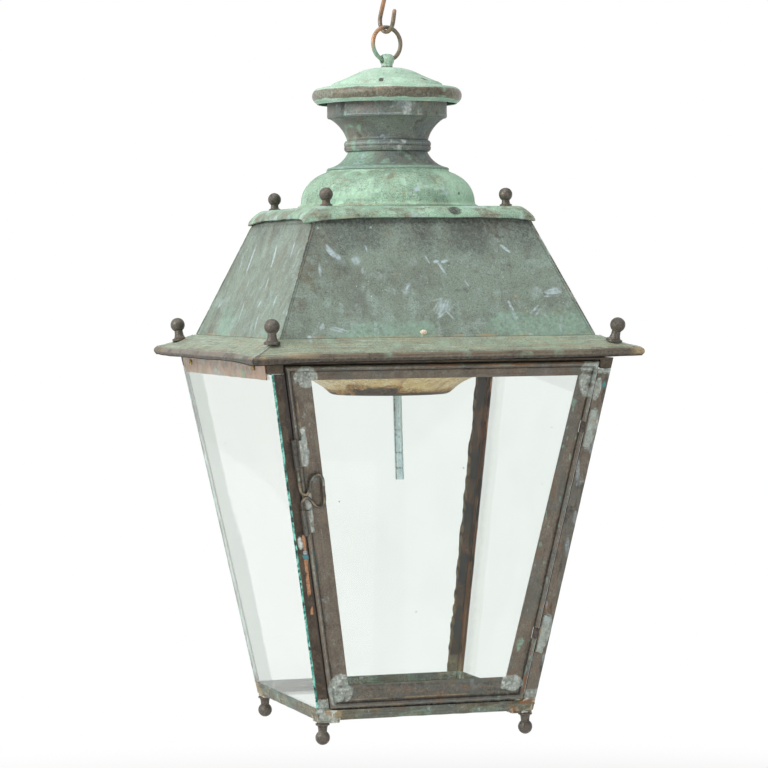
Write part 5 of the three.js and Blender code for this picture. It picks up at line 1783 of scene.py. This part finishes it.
def door_frame():
    section = door_section()
    corners = [door_corner(side, top, section) for side, top in ((-1, 0), (1, 0), (1, 1), (-1, 1))]
    loops = []
    for start, end, count in zip(corners, corners[1:] + corners[:1], (90, 130, 110, 130)):
        loops += [start * (1 - t) + end * t for t in np.linspace(0, 1, count, endpoint=False)]
    a, v, out = np.moveaxis(np.array(loops), -1, 0)
    place = np.arange(len(section))
    flat = (place >= FLAT_PLACES[0]) & (place <= FLAT_PLACES[1])
    front = flat * ramp(out, -1.0, -0.6)
    solder = solder_at(a, v)
    here = coords(a, v, 0)
    out = out + front * (0.14 * noise(here, 22, 3) + 0.10 * noise(here, 5, 4))
    out = out + front * solder * (0.55 + 0.45 * noise(here, 5.5, 6))
    bead = (place >= BEAD_PLACES[0]) & (place <= BEAD_PLACES[1])
    out = out - bead * (0.12 + 0.12 * noise(here, 12, 8))

    def masks(p):
        a, v, out = face_coords("front", p)
        z = p[:, 2]
        edge = face_half(v) - DOOR_EDGE - np.abs(a)
        top, foot = up_at(DOOR_TOP_Z) - v, v - up_at(DOOR_BOTTOM_Z)
        inside = np.minimum(np.minimum(edge, top), foot)
        left = a < 0
        bits = noise(p * (1, 1, 0.5), 7, 44)
        rust_line = peak(inside, 1.6, 1.3) * (out > -1)
        smears = [stroke(a, v, line, 0.8 * reach) for line, reach in SMEARED]
        return dict(
            solder=solder_at(a, v) * (out > -2),
            rust=most(
                0.95 * rust_line * (top < 9) * blots(p, 11, 5, -0.25, 0.15) * ramp(a, -40, -20),
                0.7 * peak(inside, 6.2, 0.9) * ramp(bits, 0.1, 0.5),
                0.58 * blots(p * (1, 1, 0.4), 9, 14, 0.55, 0.75) * (out > -1),
                0.75 * (edge < 9) * (~left) * ramp(z, 110, 60) * blots(p, 8, 15, -0.2, 0.3)
            ),
            slate=most(
                0.85 * ramp(foot, 31, 27) * (edge > 8) * (0.8 + 0.3 * noise(p * (0.3, 1, 1), 5, 52)),
                0.66 * (~left) * (edge < 32) * blots(p * (1, 1, 0.3), 12, 53, -0.3, 0.3),
                0.6 * ramp(top, 20, 17) * blots(p, 20, 54, -0.4, 0.3)
            ),
            teal=most(
                0.8 * (~left) * blots(p, 3.2, 55, 0.62, 0.75) * ramp(z, 330, 300) * ramp(edge, 12, 8),
                0.7 * peak(inside, 5.8, 0.7) * left * ramp(z, 120, 215) * ramp(z, 240, 215)
            ),
            green=most(
                0.66 * (~left) * blots(p * (1, 1, 0.5), 5, 56, 0.35, 0.6) * (edge < 32),
                0.8 * peak(inside, 6.0, 1.0) * left * ramp(bits, -0.3, 0.3) * ramp(z, 210, 260),
                0.62 * rust_line * blots(p, 15, 25, 0.2, 0.5)
            ),
            pale=most(
                1.1 * brushed(a, v, FILMED, 3), 0.48 * blots(p * (1, 1, 0.5), 6, 6, 0.5, 0.7) * (out > -1),
                0.6 * peak(inside, 2.6, 0.8) * (out > 1.6)
            ),
            oxide_and_highlight=most(
                0.95 * most(*smears) * blots(p * (1, 1, 0.6), 4.5, 47, -0.35, 0.3),
                0.66 * solder_at(a, v) * blots(p, 4, 48, 0.2, 0.5) * (out > -2)
            ),
            bare=0.5 * rust_line * left * ramp(z, 120, 200) * ramp(z, 240, 200),
            tan=most(
                0.95 * stroke(a, v, [(-167, 372), (-163.5, 352), (-160.5, 336)], 2.2)
                * ramp(bits, -0.5, 0.1),
                0.75 * brushed(a, v, [(-152, 300, 16, 6, 84, 1.0)], 8),
                0.75 * peak(inside, 1.4, 1.3) * ramp(foot, 9, 5) * blots(p, 9, 61, -0.4, 0.2),
                0.95 * peak(foot, 8.8, 1.4) * (edge > 10) * blots(p * (0.4, 1, 1), 6, 62, -0.5, 0.1)
            ),
            # The first three dark terms are painted shade: in the crease where the bead meets the flat,
            # beside the left jamb high up, and on the skirt that turns in behind; the rest are blotches and
            # a darkening towards the foot
            dark=most(
                1.0 * peak(inside, 5.6, 0.7) * (out > -1.2),
                0.95 * ramp(inside, 3.0, 1.4) * left * (edge < top) * ramp(z, 290, 380),
                0.95 * ramp(out, -1.2, -3.0) * ramp(inside, 3, 0.5),
                0.5 * blots(p * (1, 1, 0.3), 9, 16, 0.35, 0.6), 0.5 * ramp(foot, 30, 22),
                0.62 * ramp(foot, 30, 26) * blots(p * (0.06, 1, 1), 2.0, 57, 0.1, 0.5)
            )
        )

    def flow(p):
        a, v, _ = face_coords("front", p)
        edge = face_half(v) - DOOR_EDGE - np.abs(a)
        top, foot = up_at(DOOR_TOP_Z) - v, v - up_at(DOOR_BOTTOM_Z)
        rail = (top < TOP_RAIL + BEAD * 2) | (foot < BOTTOM_RAIL + BEAD * 2)
        return coords(np.where(rail, v, edge), np.where(rail, a, v) * 0.07, 60 * rail)

    piece = add_mesh(
        "door_moulding", closed_rings(on_face("front", a, v, out)), brown_patina, "door_frame",
        masks, flow, "door"
    )
    for z in HINGES.values():
        box, faces = rounded_box((3.55, 6.5, 5.5), 0.05, 2)
        carve(piece, (hinge_frame(z, box + (0.05, 0, -1.5)), faces))
    shade(piece.data)


def edge_frame(side, z, inset, outwards, local):
    """Points given along a door edge: X to the inside, Y up the edge, Z outwards."""
    v = up_at(z)
    a = side * (face_half(v) - inset)
    x, y, w = np.moveaxis(turn_about_z(local, -side * EDGE_TILT), -1, 0)
    return on_face("front", a + x, v + y, w + outwards)


def hinge_frame(z, local):
    return edge_frame(1, z, DOOR_EDGE + BEAD, -0.4, local)


def hinges():
    outline = finer([(1.6, -6), (3.0, -6), (3.0, 6), (1.6, 6)], 3, closed=True)
    for name, z in HINGES.items():
        knuckle, knuckle_faces = turned(outline, 32)
        box, faces = rounded_box((4.9, 21.5, 0.8), 0.6, 22)
        rim = ramp(np.abs(box[:, 0]), 3.2, 4.9)
        flat = coords(box[:, 0], box[:, 1], 0)
        box[:, 2] += 0.35 * noise(flat, 4, 9 + z) * (box[:, 2] > 0)
        box[:, 0] += 0.5 * noise(flat * (0, 1, 0), 6, 11 + z) * rim
        box[:, 1] += 1.4 * noise(flat * (1, 0, 0), 4, 12 + z) * ramp(np.abs(box[:, 1]), 14, 21)
        neck, neck_faces = rounded_box((1.7, 5.9, 0.6), 0.3, 4)
        points, faces = merged(
            (knuckle[:, [0, 2, 1]], knuckle_faces), (neck + (3.6, 0, 1.3), neck_faces),
            (box + (8.4, 0, 1.5), faces)
        )

        def masks(p):
            inset = face_half(face_coords("front", p)[1]) - p[:, 0]
            return dict(
                tan=0.66 * blots(p, 6, 2, 0.25, 0.5), brown=ramp(inset, 12.4, 13.6),
                dark=0.7 * ramp(inset, 13.8, 15.0), pale=0.6 * blots(p, 7, 9, 0, 0.4) * ramp(inset, 13, 12)
            )

        add_mesh(
            f"{name}_hinge_plate", (hinge_frame(z, points), faces), solder_metal, f"{name}_hinge_leaf",
            masks
        )


HANDLE_Z, HANDLE_INSET, HANDLE_OUT = 281.0, 13.9, 4.1


def handle():
    bends = [
        (0, 62), (0, 40), (0, 20), (0, 9), (1.4, 4.4), (6, 1.7), (9.8, 5.6), (13, 14.5), (17.4, 20.6),
        (23, 21), (26.2, 15.5), (25.8, 2), (25.2, -9.5), (21.6, -15.4), (15.6, -13.4), (10.2, -5.8),
        (6, -1.7), (1.4, -4.4), (0, -9.5), (0, -25), (0, -42)
    ]
    line = spline([(x, y, 0) for x, y in bends], 9)
    world = edge_frame(-1, HANDLE_Z, HANDLE_INSET, HANDLE_OUT, line)
    free = ramp(line[:, 1], -15, -9) * ramp(line[:, 1], 31, 25)
    radius = 1.42 + 0.46 * free + 0.04 * noise(world, 6, 4)

    def masks(p):
        _, _, out = face_coords("front", p)
        return dict(
            # The wire's top is painted lighter tan and green as a painted highlight, and its sides dark as
            # painted shade; the blots are random
            tan=0.7 * ramp(out, 5.0, 5.7) * blots(p, 6, 7, -0.4, 0.2),
            green=0.66 * ramp(out, 5.1, 5.8) * blots(p, 7, 17, -0.2, 0.3),
            dark=most(1.1 * ramp(out, 5.5, 4.9), 0.6 * blots(p, 9, 6, 0.1, 0.5))
        )

    add_mesh(
        "handle_wire", swept(world, radius, 16), cast_brass, "door_handle", masks,
        body="handle"
    )
    for name, (foot, head) in (("upper", (31, 65)), ("lower", (-44, -15))):
        strap = finer([(10.0, -0.42), (2.62, -0.42)], 1.5)
        coil = arc(0, 0, 2.66, -0.16, 2 * math.pi - 0.75, 34)
        outline = sheet(path(strap, coil), 1.0)
        y = np.linspace(foot, head, 26)
        grid = coords(outline[:, 0], y[:, None], outline[:, 1])
        strap_part = ramp(grid[..., 0], 3, 5)
        middle = (foot + head) / 2
        grid[..., 1] = middle + (grid[..., 1] - middle) * (1 - 0.14 * strap_part)
        grid[..., 2] = grid[..., 2] + strap_part * 0.2 * noise(grid, 6, 3)
        points, faces = capped_rings(grid)
        solid = (edge_frame(-1, HANDLE_Z, HANDLE_INSET, HANDLE_OUT, points), faces)

        def sleeve_masks(p):
            a, v, out = face_coords("front", p)
            inset = face_half(v) - np.abs(a)
            return dict(
                solder=0.95 * ramp(inset, 18.4, 20.4), rust=0.6 * blots(p * (1, 1, 0.4), 5, 9, 0.2, 0.5),
                slate=0.75 * (inset < 18.5),
                # Besides the random first term, painted shade: where the strap leaves the coil, on the
                # coil's far side and on the coil below its crown
                dark=most(
                    0.66 * blots(p * (1, 1, 0.4), 6, 4, -0.4, 0.2) * (inset < 18.5),
                    1.0 * peak(inset, 17.2, 1.1), 1.0 * ramp(inset, 13.0, 11.8),
                    0.7 * (out < 5.2) * (inset < 17)
                ),
                oxide_and_highlight=0.72 * ramp(inset, 18.6, 20.6) * blots(p, 3.4, 18, -0.1, 0.4)
            )

        add_mesh(
            f"{name}_sleeve", solid, brown_patina, f"{name}_handle_sleeve",
            sleeve_masks, body="door"
        )


# Lamp fitting


def reflector():
    line = path(
        finer([(17, 384), (63, 384)], 4), bezier([(63, 384), (68, 384), (71, 387)], 6),
        bezier([(71, 387), (86, 401), (103, 404.4)], 16), (108, 405.2), (113, 406), (114.4, 406.8),
        (115, 408)
    )
    solid = dented(turned(sheet(line), 128), 0.3, 40, 3)

    def masks(p):
        r, az = np.hypot(p[:, 0], p[:, 1]), round_about(p)
        return dict(
            dark=most(
                0.9 * ramp(np.abs(r - 68), 5.4, 2.4) * blots(p, 13, 2, -0.6, 0.0),
                0.85 * ramp(r, 113, 114.6),
                0.9 * ramp(az, -62, -48) * ramp(az, -4, -14) * ramp(r, 81 + 6 * noise(p, 8, 33), 76)
            ),
            rust=most(
                0.8 * ramp(r, 84 + 9 * noise(p, 18, 31), 72) * ramp(r, 60, 66),
                0.95 * ramp(az, -66, -52) * ramp(az, 2, -12) * ramp(r, 88 + 9 * noise(p, 10, 32), 80),
                0.8 * ramp(r, 110, 114) * blots(p, 7, 5, -0.3, 0.2),
                0.62 * blots(p * (1, 1, 0.3), 9, 6, 0.3, 0.6)
            ),
            brown=0.5 * blots(p, 24, 8, 0.0, 0.6) * ramp(r, 64, 74)
        )

    def flow(p):
        az = np.arctan2(p[:, 1], p[:, 0])
        return coords(80 * np.cos(az), 80 * np.sin(az), 0.1 * np.hypot(p[:, 0], p[:, 1]))

    add_mesh("enamel_dish", solid, cream_enamel, "enamel_reflector", masks, flow)


TUBE_X, TUBE_LEAN, TUBE_GROOVES = 7.9, math.radians(1.25), (298, 316, 342)


def tube():
    line = [(5.0, 285.0)]
    for z in TUBE_GROOVES:
        line += [(5.0, z - 1.1), (4.55, z - 0.7), (4.5, z), (4.55, z + 0.7), (5.0, z + 1.1)]
    line += [(5.0, 442.0)]
    outline = np.vstack([finer(line, 9), [(3.4, 442.0), (3.4, 285.0)]])
    points, faces = turned(outline, 40)
    c, s = math.cos(TUBE_LEAN), math.sin(TUBE_LEAN)
    x, y, z = (points - (0, 0, TOP_Z)).T
    points = coords(x * c - z * s + TUBE_X, y, z * c + x * s + TOP_Z)

    def masks(p):
        middle = TUBE_X - (p[:, 2] - TOP_Z) * s
        around = np.degrees(np.arctan2(p[:, 0] - middle, -p[:, 1]))
        return dict(
            # Lines at fixed angles to the camera: the slate lines are painted shade down the tube's sides
            # and a painted dark reflection near its middle, and the bright lines are painted highlights
            slate=most(1.3 * peak(around, -62, 13), 0.95 * peak(around, -4, 7), 1.3 * peak(around, 54, 15)),
            dark=most(*(0.8 * peak(p[:, 2], z + 0.4, 1.0) for z in TUBE_GROOVES)),
            oxide_and_highlight=most(1.0 * peak(around, -30, 13), 0.9 * peak(around, 18, 11))
        )

    add_mesh("lamp_pipe", (points, faces), zinc_steel, "lamp_tube", masks)


def small_lumps():
    """Loose solder, paint and torn metal that show in single places."""

    def lump(name, centre, half, material, seed, steps=12):
        points, faces = rounded_box((1, 1, 1), 0.95, steps)
        points = lumpy(points * half, 0.35 * min(half), 1.6 * max(half), seed)
        add_mesh(name, (points + centre, faces), material, None)

    lump("bolt_stub", (128.3, -119.5, 34.0), (3.2, 1.8, 1.8), cast_brass, 3)
    lump("paint_blob", (-18.4, -181.2, 457.6), (4.2, 1.7, 3.0), pale_paint, 5)
    for k, z in enumerate(np.linspace(48, 404, 27)):
        half = half_at(z)
        width = 1.3 + 0.9 * TABLE[300 + k]
        lump(f"putty_crumb_{k:02d}", (half - 18.6, half - 4.4, z), (width, 0.8, 6.0), putty, 20 + k, 8)
    outline = [(0, 0), (6.0, 1.0), (3.2, 7.5), (1.2, 3.0), (-2.0, 5.2), (-2.4, 1.0)]
    solid, faces = capped_rings(np.array([[(x, y, z) for y, z in outline] for x in (0, 0.9)]))
    add_mesh("torn_tab", (solid + (-129.2, 124, 40.5), faces), brown_patina, None)


def carried_over():
    """CAD nodes whose shapes are right get the weathered materials."""
    looks = {
        "top_frame": dark_patina, "cap_spider": rusty_steel, "boss_nut": yellow_brass,
        "bridge_bar": rusty_steel, "reflector_strap": rusty_steel, "upper_lock_nut": yellow_brass,
        "lower_lock_nut": yellow_brass, "upper_hinge_pin": cast_brass, "lower_hinge_pin": cast_brass
    }
    for node, material in looks.items():
        piece = frame["nodes"][node]
        piece.data.materials.clear()
        piece.data.materials.append(material)


# Stage

CAMERA_PLACE = (-1.08367, -3.3799, -0.37897)
CAMERA_TURNS = (17.690, 1.9119, -0.4760)
SENSOR, LENS = 36.0, 144.26
# Brightness of the light all round and of the room that shows in reflections
SKY, ROOM = 0.43, 0.38
# Lamps: place, the point aimed at, width in metres and power in watts
LAMPS = {
    "key": ((-3.1, -0.8, 1.2), (0, 0, -0.45), 2.2, 112), "top": ((-0.2, -0.4, 2.4), (0, 0, -0.45), 2.2, 34),
    "fill": ((1.3, -3.4, -0.4), (0, 0, -0.5), 2.4, 30)
}


def floor():
    bpy.ops.mesh.primitive_circle_add(vertices=96, radius=2.4, fill_type="NGON", location=(0, 0, -1.25))
    disc = bpy.context.active_object
    disc.name = "floor"
    s = Shading("pale_floor")
    apart = s.node("SeparateXYZ", {0: s.here})
    x, y = (s.math("POWER", apart.outputs[k], 2.0) for k in (0, 1))
    reach = s.math("SQRT", s.math("ADD", x, y))
    fade = s.band(reach, 1.2, 2.3)
    pale = s.node("BsdfDiffuse", {"Color": rgb("f4f4f2")})
    white = s.node("Emission", {"Color": (1, 1, 1, 1), "Strength": 1.0})
    ray = s.node("LightPath")
    seen = s.math(
        "MAXIMUM", ray.outputs["Is Camera Ray"],
        s.math("MAXIMUM", ray.outputs["Is Glossy Ray"], ray.outputs["Is Transmission Ray"])
    )
    both = s.node("MixShader", {0: s.math("MULTIPLY", fade, seen), 1: pale.outputs[0], 2: white.outputs[0]})
    s.surface(both.outputs[0])
    disc.data.materials.append(s.material)


def world(level):
    """Soft light all round; white behind the lantern, and a dimmer room in front that only
    shows in reflections."""
    scene = bpy.context.scene
    scene.world = bpy.data.worlds.new("studio")
    scene.world.use_nodes = True
    s = Nodes(scene.world.node_tree)

    def background(colour, strength):
        return s.node("Background", {"Color": colour, "Strength": strength}).outputs[0]

    ray = s.node("LightPath").outputs
    way = s.node("TexCoord").outputs["Generated"]
    ahead = s.node("SeparateXYZ", {0: way}).outputs[1]
    values = {"Value": ahead, "From Min": -0.3, "From Max": 0.4, "To Min": ROOM, "To Max": 1.0}
    room = s.node("MapRange", values).outputs[0]
    lit = background((0.97, 0.985, 1.0, 1), level)
    mirrored = background((1, 1, 1, 1), room)
    white = background((1, 1, 1, 1), 1.0)
    seen = s.math("MAXIMUM", ray["Is Camera Ray"], ray["Is Transmission Ray"])
    both = s.node("MixShader", {0: ray["Is Glossy Ray"], 1: lit, 2: mirrored}).outputs[0]
    both = s.node("MixShader", {0: seen, 1: both, 2: white}).outputs[0]
    s.node("OutputWorld", {"Surface": both})


def lamp(name, place, aim, size, watts):
    """A round lamp that the camera doesn't see."""
    light = bpy.data.lights.new(name, "AREA")
    light.shape, light.size, light.energy = "DISK", size, watts
    piece = bpy.data.objects.new(name, light)
    bpy.context.scene.collection.objects.link(piece)
    place, aim = np.array(place), np.array(aim)
    piece.location = place
    piece.rotation_euler = Vector(aim - place).to_track_quat("-Z", "Y").to_euler()
    piece.visible_camera = False


def camera():
    """The photograph's viewpoint: yaw, pitch and roll about the lantern, a long lens."""
    yaw, pitch, roll = (math.radians(a) for a in CAMERA_TURNS)

    def world_way(x, y, z):
        x, z = x * math.cos(roll) - z * math.sin(roll), x * math.sin(roll) + z * math.cos(roll)
        return (x * math.cos(yaw) + y * math.sin(yaw), y * math.cos(yaw) - x * math.sin(yaw), z)

    right = world_way(1, 0, 0)
    up = world_way(0, math.sin(pitch), math.cos(pitch))
    ahead = world_way(0, math.cos(pitch), -math.sin(pitch))
    data = bpy.data.cameras.new("camera")
    data.sensor_width, data.lens = SENSOR, LENS
    data.clip_end = 50
    piece = bpy.data.objects.new("camera", data)
    bpy.context.scene.collection.objects.link(piece)
    rows = [[right[k], up[k], -ahead[k], CAMERA_PLACE[k]] for k in range(3)]
    piece.matrix_world = Matrix([*rows, [0, 0, 0, 1]])
    bpy.context.scene.camera = piece


camera()
world(SKY)
for name, setting in LAMPS.items():
    lamp(name, *setting)
floor()

for build in (
    hook, ring, boss, chimney_cap, chimney_throat, neck_ring, dome, flare, collar, finials, roof_panels,
    eaves, seams, posts, bottom_frame, panes, strip, door_frame, hinges, handle, reflector, tube,
    small_lumps, carried_over
):
    build()

bpy.context.scene.view_settings.view_transform = "Standard"
